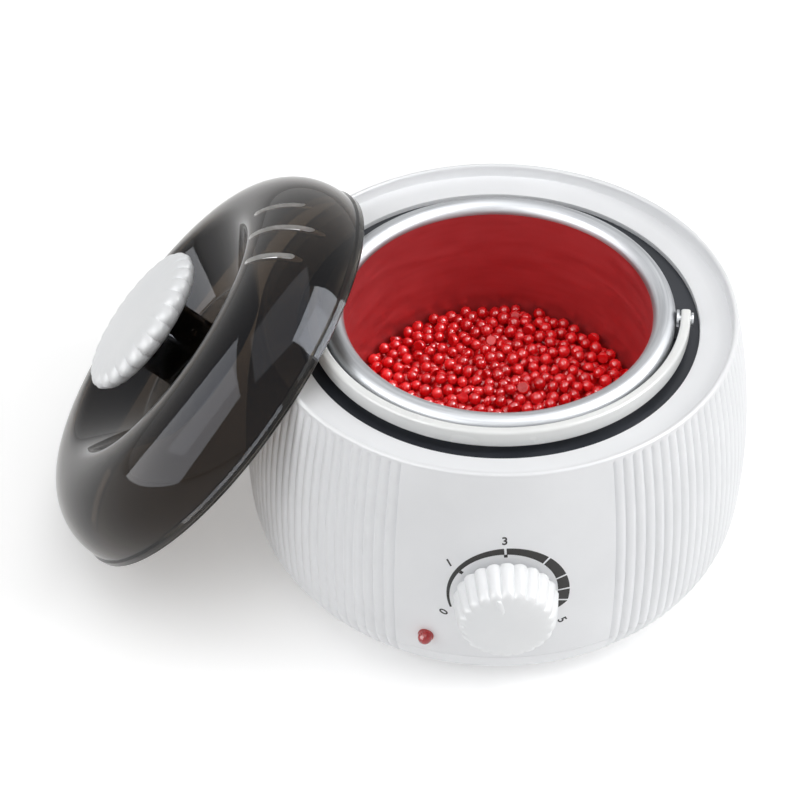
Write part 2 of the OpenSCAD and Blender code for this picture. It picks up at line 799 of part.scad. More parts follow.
// From the terminal block to the clamp plate, the fuse and the thermostat
module heater_leads() {
    side = block_y - block_d / 2;
    tab_y = 3 - body_y;
    tap = [-2 * pole_pitch, 8];
    end_x = fuse_x + fuse_l / 2 + fuse_end;
    color("#d9d2c4") {
        wire([[-pole_pitch, side, entry_z], [-pole_pitch, side - 6, entry_z],
            [tap[0], side - 20, lead_z], [tap[0], tap[1], lead_z], [tap[0], tap[1], clamp_z]],
            wire_r);
        wire([[0, side, entry_z], [0, side - 8, entry_z], [end_x + 1, side / 2 - 1, lead_z],
            [end_x + 1, 0, fuse_z], [end_x, 0, fuse_z]], wire_r);
        wire([[pole_pitch, side, entry_z], [pole_pitch, side - 8, entry_z],
            [3 * pole_pitch, side / 2 - 1, lead_z - 2], [3 * pole_pitch + 4, -40, lead_z - 2],
            [20, tab_y + 1, lead_z + 4], [tab_x, tab_y, lead_z + 16],
            [tab_x, tab_y, knob_z - tab_drop]], wire_r);
    }
}

// From the terminal block to the lamp, square to the lamp holder's back
module lamp_leads() {
    inner = lamp_y - wall - holder_l;
    pass_z = base_floor + 5.5;
    lead_end = block_y - block_d / 2;
    inward = [sin(lamp_angle), cos(lamp_angle), 0];
    across = [cos(lamp_angle), -sin(lamp_angle), 0];
    near = [0, 0, lamp_z] - inner * inward;
    end_z = entry_z + 2;
    color("#b23a34") for (s = [-2, 2])
        wire([near + s * across, near + s * across + 6 * inward,
            near + s * across + 14 * inward + [0, 0, end_z - lamp_z], [s - 6, 0, pass_z],
            [s - 6, lead_end - 20, pass_z], [s - 6, lead_end - 6, end_z],
            [s - 6, lead_end, end_z]], wire_r * 0.8);
}

// The pot's wall and its rolled rim, as one outline of even thickness
module pot() {
    inner = [pot_r - pot_corner, pot_floor + pot_corner];
    roll = [roll_mid, roll_z];
    curl = -30;
    color("#c9cbce") rotate_extrude($fn = fine) polygon(concat(
        [[0, pot_floor], [pot_r - pot_corner, pot_floor]],
        arc(inner, pot_corner, -90, 0),
        [[pot_r, roll_z]],
        arc(roll, roll_r, 180, curl, 10),
        [roll + (roll_r - pot_t) * [cos(curl), sin(curl)]],
        arc(roll, roll_r - pot_t, curl, 180, 10),
        [[pot_r + pot_t, pot_floor + pot_corner]],
        arc(inner, pot_corner + pot_t, 0, -90),
        [[0, bowl_floor]]));
}

// An ear stands on the rim's outer edge and its foot reaches the pot's wall
module pot_ears() {
    foot_z = ring_z - foot_t;
    color("#b4b7ba") for (a = [0, 180]) rotate([0, 0, a - bail_turn]) {
        difference() {
            translate([0, 0, foot_z]) translate([pot_r, -ear_w / 2, 0])
                cube([ear_x + ear_t - pot_r, ear_w, foot_t]);
            translate([0, 0, foot_z - 1])
                cylinder(r = pot_r + pot_t + 0.02, h = foot_t + 2, $fn = fine);
        }
        difference() {
            union() {
                translate([ear_x, -ear_w / 2, foot_z])
                    cube([ear_t, ear_w, pivot_z - foot_z]);
                translate([ear_x, 0, pivot_z]) rotate([0, 90, 0])
                    cylinder(r = ear_r, h = ear_t, $fn = small);
            }
            translate([ear_x - 1, 0, pivot_z]) rotate([0, 90, 0])
                cylinder(r = pin_r + 0.02, h = ear_t + 2, $fn = small);
        }
    }
}

module bail_pins() {
    head_x = bail_r + bail_t + head_gap;
    color("#b9bcc0") for (a = [0, 180]) rotate([0, 0, a - bail_turn]) translate([ear_x, 0, pivot_z])
        rotate([0, 90, 0]) {
            cylinder(r = pin_r, h = head_x - ear_x + thin, $fn = small);
            translate([0, 0, head_x - ear_x])
                cylinder(r = pin_head_r, h = pin_head, $fn = small);
        }
}

// Half a ring that lies forward, with a rounded end and a hole at each pivot
module bail_handle() {
    color("#f4f5f5") rotate([0, 0, -bail_turn]) translate([0, 0, pivot_z]) difference() {
        intersection() {
            rotate([0, 0, 45]) rotate_extrude($fn = fine)
                translate([bail_r, -bail_w / 2]) square([bail_t, bail_w]);
            union() {
                translate([-barrel_r, -barrel_r, -bail_w]) cube([barrel_r * 2, barrel_r, bail_w * 2]);
                rotate([0, 90, 0]) rotate([0, 0, 30])
                    cylinder(r = bail_w / 2 + 0.3, h = barrel_r * 2, center = true, $fn = small);
            }
        }
        rotate([0, 90, 0]) rotate([0, 0, 30])
            cylinder(r = pin_r + shaft_gap, h = barrel_r * 2, center = true, $fn = small);
    }
}

// The heap of wax beads, as one solid with a slightly crowned top
module wax_fill() {
    r = pot_r - wax_gap;
    top = pot_floor + wax_depth;
    crown = 420;
    color("#c81e26") rotate_extrude($fn = fine) intersection() {
        cup(r, pot_floor, top + wall, pot_corner);
        translate([0, top - crown + 2]) circle(r = crown, $fn = 720);
    }
}

// Places the lid, drawn with its rim at height zero, where it leans
module leaning() {
    rotate([0, 0, -lid_side]) translate([-lean_x, 0, lean_z]) rotate([0, -lid_lean, 0])
        children();
}

// Shoulder, crest, the well's sloping side and its floor, all of one thickness
module lid_outline() {
    mitre = lid_t * tan(well_slope / 2);
    shoulder = [band_r - shoulder_r, band_h];
    top = [crest_r, top_z];
    brow = [crest_r, lid_h - crest_curve];
    well = 90 + well_slope;
    polygon(concat(
        [[lid_r, 0], [lid_r, band_h - band_step], [band_r, band_h]],
        arc(shoulder, shoulder_r, 0, blend_angle),
        arc(top, top_r, blend_angle, 90, 4),
        arc(brow, crest_curve, 90, well),
        [[well_foot, well_h], [0, well_h], [0, well_h - lid_t],
            [well_foot + mitre, well_h - lid_t]],
        [brow + (crest_curve - lid_t) * [cos(well), sin(well)]],
        arc(brow, crest_curve - lid_t, well, 90),
        arc(top, top_r - lid_t, 90, blend_angle, 4),
        arc(shoulder, shoulder_r - lid_t, blend_angle, 0),
        [[band_r - lid_t, 0]]));
}

module lid_slot(length) {
    translate([-length / 2, -slot_w / 2, band_h * 3]) cube([length, slot_w, lid_h]);
    for (s = [-1, 1]) translate([s * length / 2, 0, band_h * 3])
        cylinder(r = slot_w / 2, h = lid_h, $fn = small);
}

module lid_dome() {
    hollow = post_side - 2 * lid_t;
    color([0.18, 0.17, 0.17, 0.6]) leaning() difference() {
        union() {
            rotate_extrude($fn = fine) lid_outline();
            translate([-post_side / 2, -post_side / 2, well_h - lid_t])
                cube([post_side, post_side, post_h - well_h + lid_t]);
        }
        translate([-hollow / 2, -hollow / 2, 0]) cube([hollow, hollow, post_h - lid_t]);
        cylinder(r = screw_r + 0.15, h = post_h + 1, $fn = small);
        translate([0, 0, post_hole_z]) rotate([0, 90, 0])
            cylinder(r = post_hole_r, h = post_side, $fn = small);
        for (i = [-1:1]) rotate([0, 0, slot_mid + i * slot_pitch]) translate([slot_ring, 0, 0])
            rotate([0, 0, slot_turn - slot_mid - i * slot_pitch]) lid_slot(slot_lengths[i + 1]);
    }
}

module lid_knob() {
    lobe = PI * lid_knob_r / lid_knob_lobes;
    h = lid_knob_t;
    color("#f4f5f5") leaning() translate([0, 0, post_h]) difference() {
        intersection() {
            union() {
                cylinder(r = lid_knob_r - lobe * 0.55, h = h, $fn = fine);
                on_ring(lid_knob_r - lobe,
                    [for (i = [0:lid_knob_lobes - 1]) i * 360 / lid_knob_lobes])
                    cylinder(r = lobe, h = h, $fn = small);
            }
            rotate_extrude($fn = fine) polygon([[0, 0], [lid_knob_r - 5, 0],
                [lid_knob_r - 1.4, h * 0.3], [lid_knob_r, h * 0.45], [lid_knob_r - 0.6, h * 0.65],
                [lid_knob_r - 3, h * 0.85], [lid_knob_r - 7, h * 0.96], [lid_knob_r - 12, h],
                [0, h]]);
        }
        translate([0, 0, -1])
            cylinder(r = screw_r + thin, h = lid_screw_l - lid_t + 0.7, $fn = small);
    }
}

module lid_screw() {
    color("#b9bcc0") leaning() translate([0, 0, post_h - lid_t - washer_t]) screw(lid_screw_l);
}

module lid_washer() {
    color("#c4c7ca") leaning() translate([0, 0, post_h - lid_t - washer_t])
        tube(washer_r, screw_r + 0.2, washer_t);
}

housing();
base_cover();
rubber_feet();
base_screws();
heating_bowl();
bowl_clips();
clip_screws();
heater_plate();
heater_clamp();
heater_nut();
thermal_fuse();
fuse_clip();
thermostat_body();
thermostat_terminals();
thermostat_nut();
indicator_lens();
lamp_holder();
cord_gland();
gland_nut();
terminal_block();
terminal_screws();
heater_leads();
lamp_leads();
thermostat_shaft();
control_knob();
pot();
pot_ears();
bail_pins();
wax_fill();
bail_handle();
lid_dome();
lid_knob();
lid_screw();
lid_washer();
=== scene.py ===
"""Looks of a wax warmer, with its lid off and leaning at its left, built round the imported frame."""
import json
import math
import random

import bmesh
import bpy
import numpy as np
from mathutils import Matrix, Vector


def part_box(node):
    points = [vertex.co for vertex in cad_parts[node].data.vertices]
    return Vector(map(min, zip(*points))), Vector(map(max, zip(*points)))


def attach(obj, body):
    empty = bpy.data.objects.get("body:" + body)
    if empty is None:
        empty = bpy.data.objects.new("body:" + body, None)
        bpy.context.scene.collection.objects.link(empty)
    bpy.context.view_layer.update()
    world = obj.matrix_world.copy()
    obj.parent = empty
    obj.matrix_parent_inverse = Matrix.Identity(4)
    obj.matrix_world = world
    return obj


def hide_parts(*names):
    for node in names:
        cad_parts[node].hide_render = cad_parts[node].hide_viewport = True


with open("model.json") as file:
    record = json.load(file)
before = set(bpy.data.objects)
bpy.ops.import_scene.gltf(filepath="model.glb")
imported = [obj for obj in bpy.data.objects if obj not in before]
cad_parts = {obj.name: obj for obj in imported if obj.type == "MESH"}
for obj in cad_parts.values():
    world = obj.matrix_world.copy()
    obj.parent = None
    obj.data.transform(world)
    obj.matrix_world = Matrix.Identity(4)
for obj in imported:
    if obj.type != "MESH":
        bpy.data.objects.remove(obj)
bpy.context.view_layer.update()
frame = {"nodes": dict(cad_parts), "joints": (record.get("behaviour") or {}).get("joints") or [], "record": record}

# Sizes are in millimetres and angles in degrees. The frame's nodes tell some of the sizes.
MM = 0.001
NOISE_LOW = 0.3  # most values of a noise lie between these
NOISE_HIGH = 0.7


def low(node):
    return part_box(node)[0] / MM


def high(node):
    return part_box(node)[1] / MM


def middle_z(node):
    return (low(node).z + high(node).z) / 2


# Housing: a barrel whose outline is one wide arc and a tighter one at its lower corner
BARREL_R = high("housing").x
BELLY_Z = 46  # where the barrel is widest
BARREL_CURVE = 260
CORNER_R = 28
LIP_TOP = high("housing").z
LIP_HALF = 1.085  # half the lip's thickness
RING_T = 2
RING_Z = high("heating_bowl").z + RING_T
OPENING_R = 75  # of the ring
RECESS_R = 86.8  # where the ring meets the lip
WALL = 2.5
SEAM_Z = low("housing").z
SEAM_BEVEL = 0.25
BASE_Z = low("base_cover").z
RIB_COUNT = 120
RIB_DEPTH = 1.1
RIB_TOP = RING_Z + 2
RIB_STEPS = 10
RIB_START = 1.2  # over the base, where the ribs begin
RIB_FADE = 4  # height over which they reach their depth
PANEL_HALF = 24.4  # half the smooth panel's angle round the barrel
PANEL_EDGE = 0.25  # angle that the step beside the panel takes
PANEL_STEPS = 60
CUT_FROM = 80  # holes through the wall are cut between these two radii
CUT_TO = 110
BUSH_HOLE_R = 5.06
BUSH_SEAT_R = 8.2
BUSH_SEAT_DEEP = 1
GLAND_HOLE_R = 6.1

# Base: what is screwed to it, and the slots that cool it
SCREW_RING = 72
SCREW_ANGLES = (45, 135, 225, 315)
BOSS_R = 4.5
BOSS_HOLE_R = 4.4
SCREW_HOLE_R = 1.7
SCREW_HEAD_R = 3.3
SCREW_SEAT_Z = 14
FOOT_RING = 58
FOOT_ANGLES = (0, 90, 180, 270)
FOOT_HOLE_R = 7.1
VENT_FROM = 26
VENT_TO = 44
VENT_HALF = 1.5
VENT_COUNT = 12

# Control. Angles on the knob's face and the dial run anticlockwise from the right
KNOB_Z = middle_z("control_knob")
KNOB_R = (high("control_knob").z - low("control_knob").z) / 2
KNOB_FACE_Y = -low("thermostat_shaft").y + 3
KNOB_BACK_Y = -high("control_knob").y
KNOB_FLUTES = 22
FLUTE_DEPTH = 1.5
SHAFT_HOLE_R = 3.05
NUT_POCKET_R = 8
KNOB_HOLLOW_R = 14.4
POINTER_ANGLE = 104
POINTER_TAIL = 8.0
POINTER_REACH = 14.4
POINTER_HALF = 1.15
LAMP_ANGLE = 17  # round the barrel, left of the front
LAMP_R = 2.6
LAMP_GAP = 0.05
LAMP_FLANGE_R = LAMP_R + 0.35
LAMP_STEM = 1.6
LAMP_Z = middle_z("indicator_lens")
DIAL_X = 1  # the dial's middle, right of the panel's
DIAL_R = 22.2
DIAL_LIFT = 0.07
DIAL_SINK = -0.02
DIAL_START = 200
DIAL_END = -33.6
DIAL_GAPS = (95.2, 92.8, 50.2, 48, 21, 19, 3, 1, -12.4, -14.4)  # ends of each bare tick
DIAL_THIN = 0.75
DIAL_WIDENS = 4.3
DIAL_TIP = 0.9
DIAL_STEP = 2.5
DIAL_TICKS = (149, 94)
TICK_HALF = 2
TICK_FROM = 0.1
TICK_TO = 1.3
FIGURE_SIZE = 4.6
FIGURES = (("0", 205, 25.4), ("1", 147, 25.6), ("3", 94, 25.4), ("5", -38, 25.2))  # angle, reach

# Pot, wax and bail
POT_R = 57.5
POT_T = 0.8
POT_CORNER = 7
POT_BULGE = 0.25  # a ring pressed out of the wall at POT_BULGE_Z
POT_BULGE_Z = 101
ROLL_R = 4.2
ROLL_END = -60  # angle at which the rolled rim's free edge lies
POT_TOP = high("pot").z
POT_FLOOR = low("pot").z + POT_T
WAX_TOP = high("wax_fill").z
PIVOT_Z = middle_z("bail_pins")
BAIL_TURN = 6.5  # how far the pot stands turned
BAIL_R = 67.5
BAIL_T = 3.6
BAIL_W = 7
BAIL_EDGE = 1.1
BAIL_STEPS = 120
PIN_R = 1.5
BEAD_R = 2.55
BEAD_NEAR = 0.9  # share of its radius at which a bead rests
BEAD_DROPS = 1900
BEAD_ROLLS = 14
BEAD_CELL = 0.5  # width of the cells that keep the resting height
BEAD_CUT = 0.45  # share of its radius at which a cut bead is flat
BEAD_CUT_SHARE = 0.25  # share of the beads that are cut
HEAP_LOW = 4.2  # the heap's middle under the wax's top
HEAP_FALL = 2.2  # from its middle to the wall
HEAP_WAVE = 0.8  # its rise and fall from left to right
HEAP_BACK = 1.2  # its rise towards the back
HEAP_DEEP = 4.5  # depth of the loose beads under it
HEAP_OVER = 1.8  # how far over it a bead's middle may lie
BED_LOW = 7.2  # the bed's middle under the wax's top
BED_RAISED = 0.3  # its underside over the pot's floor

# Lid
LID_R = 86
LID_H = 32
BAND_H = 3.6  # height of the rim's straight band
BAND_STEP = 0.8  # how far the dome is set in from it
CREST_R = 58  # of the ring along which the lid is highest
CREST_CURVE = 9  # of the crest's inner side
SHOULDER_R = 19  # of the curve over the band
LID_T = 2.2
WELL_H = 13  # height of the well's floor
WELL_SLOPE = 43
WELL_FILLET = 3.0
POST_SIDE = 21.4
POST_H = 34.5
POST_CORNER = 1.6
POST_FLARE = 0.9
POST_HOLE_R = 1.3
POST_HOLE_Z = 22
WASHER_T = 0.8
LID_SCREW_R = 1.6
LID_KNOB_R = 30.8
LID_KNOB_T = 10.5
LID_KNOB_HOLE_R = 1.45
LID_KNOB_LOBES = 26
LID_KNOB_VALLEY = 1.75
SLOT_W = 2.6
SLOT_RING = 69  # of the slots' middles
SLOT_MID = 4  # place of the middle slot round the lid
SLOT_PITCH = 13.2
SLOT_TURN = -14  # direction in which all of them run
SLOT_LENGTHS = (17, 23, 19)
SLOT_FLOOR = 10  # height from which they are cut
SLOT_REACH = 14  # their walls lie within this of the ring, and this angle of the middle
SLOT_SPREAD = 26
LID_LEAN = 49.5  # of its axis from upright
LID_SIDE = 7.2  # of the lean round the vertical


def srgb(r, g, b):
    """A colour given as 0 to 255 in sRGB, as the linear values that a shader takes."""
    def linear(c):
        c /= 255
        return c / 12.92 if c <= 0.04045 else ((c + 0.055) / 1.055) ** 2.4
    return linear(r), linear(g), linear(b), 1.0


# Meshes

def arc(centre, r, start, end, step=5):
    """Points of an arc from start to end in degrees, without its first point."""
    count = math.ceil(abs(end - start) / step)
    angles = [math.radians(start + (end - start) * i / count) for i in range(1, count + 1)]
    return [(centre[0] + r * math.cos(a), centre[1] + r * math.sin(a)) for a in angles]


def even_angles(count):
    return [2 * math.pi * i / count for i in range(count)]


def scallop(depth, chord, steps):
    """Depths cut across one round lobe, two chords wide, from its valley up to the next."""
    curve = (depth ** 2 + chord ** 2) / (2 * depth)
    across = [2 * k / steps - 1 for k in range(steps)]
    return [curve - math.sqrt(curve ** 2 - (u * chord) ** 2) for u in across]


def lathe(profile, angles, looped=False, depth=None):
    """A turned form. The profile holds (radius, height, share), going up its outer side.
    At each angle the radius loses depth times the point's share, which carves ribs or flutes."""
    depth = depth or [0.0] * len(angles)
    turns = [(math.cos(a), math.sin(a)) for a in angles]
    verts, rows, faces = [], [], []
    for point in profile:
        r, z, share = point if len(point) == 3 else (*point, 0)
        if r == 0:
            rows.append([len(verts)] * len(angles))
            verts.append((0, 0, z))
            continue
        rows.append(range(len(verts), len(verts) + len(angles)))
        for (c, s), d in zip(turns, depth):
            verts.append(((r - d * share) * c, (r - d * share) * s, z))
    following = list(rows[1:]) + ([rows[0]] if looped else [])
    for lower, upper in zip(rows, following):
        for i in range(len(angles)):
            j = (i + 1) % len(angles)
            ring = [lower[i], lower[j], upper[j], upper[i]]
            face = [v for k, v in enumerate(ring) if v != ring[k - 1]]
            if len(face) > 2:
                faces.append(face)
    return verts, faces


def joined(*forms):
    """Several forms as one list of points and faces."""
    verts, faces = [], []
    for more_verts, more_faces in forms:
        start = len(verts)
        verts.extend(more_verts)
        faces.extend([[start + v for v in f] for f in more_faces])
    return verts, faces


def placed(form, matrix):
    """A form moved by a matrix, in millimetres."""
    verts, faces = form
    return [tuple(matrix @ Vector(v)) for v in verts], faces


def turned(angle, axis):
    return Matrix.Rotation(math.radians(angle), 4, axis)


def moved(x, y, z):
    return Matrix.Translation((x, y, z))


def round_bar(r, z0, z1, count=48):
    """A closed round bar, for cutting holes and for posts."""
    return lathe([(0, z0), (r, z0), (r, z1), (0, z1)], even_angles(count))


def block(x0, x1, y0, y1, z0, z1):
    verts = [(x, y, z) for z in (z0, z1) for x, y in ((x0, y0), (x1, y0), (x1, y1), (x0, y1))]
    faces = [[3, 2, 1, 0], [4, 5, 6, 7]] + [[i, (i + 1) % 4, (i + 1) % 4 + 4, i + 4]
                                            for i in range(4)]
    return verts, faces


def rounded_rectangle(half_x, half_y, corner, steps=6):
    """Points of a rectangle with round corners, going round the +Z axis."""
    points = []
    for k, (sx, sy) in enumerate(((1, 1), (-1, 1), (-1, -1), (1, -1))):
        centre = (sx * (half_x - corner), sy * (half_y - corner))
        for i in range(steps + 1):
            a = math.radians(90 * k + 90 * i / steps)
            points.append((centre[0] + corner * math.cos(a), centre[1] + corner * math.sin(a)))
    return points


def stadium(length, width, steps=8):
    """Points of a slot with round ends, whose centres lie the length apart along X."""
    points = []
    for k, side in enumerate((1, -1)):
        for j in range(steps + 1):
            t = math.radians(-90 + 180 * k + 180 * j / steps)
            points.append((side * length / 2 + width / 2 * math.cos(t), width / 2 * math.sin(t)))
    return points


def level(points, z):
    """Flat points as a loop at one height."""
    return [(x, y, z) for x, y in points]


def loft(loops):
    """A closed solid through loops of equal count, each a list of (x, y, z)."""
    count = len(loops[0])
    verts = [p for loop in loops for p in loop]
    faces = [list(range(count))[::-1], [len(verts) - count + i for i in range(count)]]
    for k in range(len(loops) - 1):
        for i in range(count):
            j = (i + 1) % count
            faces.append([k * count + i, k * count + j, (k + 1) * count + j, (k + 1) * count + i])
    return verts, faces


def make_object(name, form):
    verts, faces = form
    mesh = bpy.data.meshes.new(name)
    mesh.from_pydata([(x * MM, y * MM, z * MM) for x, y, z in verts], [], faces)
    mesh.update()
    obj = bpy.data.objects.new(name, mesh)
    bpy.context.scene.collection.objects.link(obj)
    return obj


def carve(obj, form, operation="DIFFERENCE"):
    """Cuts a form out of an object, or joins it on, and applies the result."""
    tool = make_object("carving_tool", form)
    step = obj.modifiers.new("carve", "BOOLEAN")
    step.operation, step.object, step.solver = operation, tool, "EXACT"
    graph = bpy.context.evaluated_depsgraph_get()
    result = bpy.data.meshes.new_from_object(obj.evaluated_get(graph))
    obj.modifiers.clear()
    obj.data = result
    bpy.data.objects.remove(tool)


def finish_piece(obj, body, material, replaced=(), sharp=32):
    """Smooth shading with crisp edges, a material, and a place on its body."""
    mesh = obj.data
    mesh.shade_smooth()
    mesh.set_sharp_from_angle(angle=math.radians(sharp))
    mesh.materials.clear()
    for m in material if isinstance(material, (list, tuple)) else [material]:
        mesh.materials.append(m)
    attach(obj, body)
    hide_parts(*replaced)
    return obj


# Materials. Scales are per metre, and bump distances in metres

def new_material(name):
    material = bpy.data.materials.new(name)
    material.use_nodes = True
    tree = material.node_tree
    shader = tree.nodes["Principled BSDF"]
    place = tree.nodes.new("ShaderNodeTexCoord")
    return material, tree, shader, place.outputs["Object"]


def set_inputs(node, values):
    """Sets a node's inputs by their names."""
    for name, value in values.items():
        node.inputs[name].default_value = value


def noise_node(tree, vector, scale, detail=3.0, roughness=0.5):
    node = tree.nodes.new("ShaderNodeTexNoise")
    set_inputs(node, {"Scale": scale, "Detail": detail, "Roughness": roughness})
    tree.links.new(vector, node.inputs["Vector"])
    return node.outputs["Fac"]


def ramp_node(tree, value, stops):
    node = tree.nodes.new("ShaderNodeValToRGB")
    ramp = node.color_ramp
    while len(ramp.elements) < len(stops):
        ramp.elements.new(0.5)
    for element, (position, colour) in zip(ramp.elements, stops):
        element.position, element.color = position, colour
    tree.links.new(value, node.inputs["Fac"])
    return node.outputs["Color"]


def range_node(tree, value, to_low, to_high):
    node = tree.nodes.new("ShaderNodeMapRange")
    set_inputs(node, {"From Min": NOISE_LOW, "From Max": NOISE_HIGH,
                      "To Min": to_low, "To Max": to_high})
    tree.links.new(value, node.inputs["Value"])
    return node.outputs["Result"]


def tint(tree, shader, value, dark, light):
    """The surface's colour, from dark to light with the value."""
    tree.links.new(ramp_node(tree, value, [(NOISE_LOW, dark), (NOISE_HIGH, light)]),
                   shader.inputs["Base Color"])


def uneven_gloss(tree, shader, value, smooth, rough):
    tree.links.new(range_node(tree, value, smooth, rough), shader.inputs["Roughness"])


def bump_node(tree, height, strength, distance):
    node = tree.nodes.new("ShaderNodeBump")
    set_inputs(node, {"Strength": strength, "Distance": distance})
    tree.links.new(height, node.inputs["Height"])
    return node.outputs["Normal"]


def around_axis(tree, vector, ring_scale, turn_scale):
    """Coordinates that hardly change round the Z axis, for marks left by spinning. The ring
    scale is per metre out and up, and the turn scale per radian."""
    split = tree.nodes.new("ShaderNodeSeparateXYZ")
    tree.links.new(vector, split.inputs[0])

    def math_node(kind, a, b=None, value=None):
        node = tree.nodes.new("ShaderNodeMath")
        node.operation = kind
        tree.links.new(a, node.inputs[0])
        if b is not None:
            tree.links.new(b, node.inputs[1])
        if value is not None:
            node.inputs[1].default_value = value
        return node.outputs[0]

    x, y, z = split.outputs
    squares = math_node("ADD", math_node("MULTIPLY", x, x), math_node("MULTIPLY", y, y))
    radius = math_node("SQRT", squares)
    angle = math_node("ARCTAN2", y, x)
    join = tree.nodes.new("ShaderNodeCombineXYZ")
    tree.links.new(math_node("MULTIPLY", radius, value=ring_scale), join.inputs[0])
    tree.links.new(math_node("MULTIPLY", angle, value=turn_scale), join.inputs[1])
    tree.links.new(math_node("MULTIPLY", z, value=ring_scale), join.inputs[2])
    return join.outputs[0]


def plastic(name, dark, light, roughness=(0.3, 0.42), grain=2600, bump=0.05, coat=0.0):
    """Moulded plastic: a faint cloud of tone, uneven gloss and a fine moulded grain."""
    material, tree, shader, place = new_material(name)
    tint(tree, shader, noise_node(tree, place, 22, 4), dark, light)
    uneven_gloss(tree, shader, noise_node(tree, place, 60), *roughness)
    tree.links.new(bump_node(tree, noise_node(tree, place, grain, 2), bump, 0.00005),
                   shader.inputs["Normal"])
    set_inputs(shader, {"Specular IOR Level": 0.35, "Coat Weight": coat, "Coat Roughness": 0.12})
    return material


def spun_metal(name, dark, light, roughness):
    """Metal with fine streaks round the pot's axis."""
    material, tree, shader, place = new_material(name)
    streaks = noise_node(tree, around_axis(tree, place, 900, 1.5), 1.0, 5, 0.6)
    tint(tree, shader, streaks, dark, light)
    uneven_gloss(tree, shader, streaks, *roughness)
    tree.links.new(bump_node(tree, streaks, 0.12, 0.00004), shader.inputs["Normal"])
    set_inputs(shader, {"Metallic": 1.0})
    return material


def plain_metal(name, dark, light):
    material, tree, shader, place = new_material(name)
    cloud = noise_node(tree, place, 240, 4, 0.6)
    tint(tree, shader, cloud, dark, light)
    uneven_gloss(tree, shader, cloud, 0.22, 0.38)
    set_inputs(shader, {"Metallic": 1.0})
    return material


def pot_inside_painted_reflection_material():
    """Satin aluminium coloured red inside, a painted reflection of the red wax, with faint streaks left by
    spinning.
    """
    material, tree, shader, place = new_material("pot_inside")
    streaks = noise_node(tree, around_axis(tree, place, 260, 2.5), 1.0, 4, 0.6)
    tree.links.new(ramp_node(tree, streaks, [(0.25, srgb(184, 68, 72)), (0.75, srgb(196, 78, 82))]),
                   shader.inputs["Base Color"])
    uneven_gloss(tree, shader, streaks, 0.34, 0.5)
    set_inputs(shader, {"Metallic": 0.55})
    return material


def wax_material():
    """Glossy red wax, a little different from bead to bead, with light that soaks in."""
    material, tree, shader, place = new_material("wax_red")
    island = tree.nodes.new("ShaderNodeNewGeometry").outputs["Random Per Island"]
    tree.links.new(ramp_node(tree, island, [(0.0, srgb(200, 12, 20)), (0.6, srgb(218, 22, 30)),
                                            (1.0, srgb(232, 46, 50))]),
                   shader.inputs["Base Color"])
    uneven_gloss(tree, shader, noise_node(tree, place, 500), 0.1, 0.26)
    set_inputs(shader, {"Subsurface Weight": 0.6, "Subsurface Radius": (1.0, 0.12, 0.1),
                        "Subsurface Scale": 0.003, "Coat Weight": 0.6, "Coat Roughness": 0.08})
    return material


def smoked_material(name, dark, light):
    """Clear smoked plastic with faint moulding ripples in its gloss."""
    material, tree, shader, place = new_material(name)
    tint(tree, shader, noise_node(tree, place, 14, 3), dark, light)
    uneven_gloss(tree, shader, noise_node(tree, place, 40), 0.02, 0.05)
    tree.links.new(bump_node(tree, noise_node(tree, place, 9, 1), 0.04, 0.0006),
                   shader.inputs["Normal"])
    set_inputs(shader, {"Transmission Weight": 0.97, "IOR": 1.49,
                        "Specular Tint": (0.33, 0.35, 0.39, 1)})
    return material


def painted_light_edge_material():
    """The cut edges of the lid's slots, frosted, painted a near-white colour that stands for the light that the
    clear wall leads.
    """
    material, tree, shader, place = new_material("lid_edge_painted_light")
    cloud = noise_node(tree, place, 300, 3)
    tint(tree, shader, cloud, srgb(196, 196, 194), srgb(222, 222, 220))
    uneven_gloss(tree, shader, cloud, 0.3, 0.5)
    return material


def lamp_material():
    """Red plastic that lets some light through."""
    material, tree, shader, place = new_material("lamp_red")
    tint(tree, shader, noise_node(tree, place, 900), srgb(178, 14, 20), srgb(206, 30, 34))
    uneven_gloss(tree, shader, noise_node(tree, place, 500), 0.08, 0.18)
    set_inputs(shader, {"Transmission Weight": 0.35, "Coat Weight": 0.5})
    return material


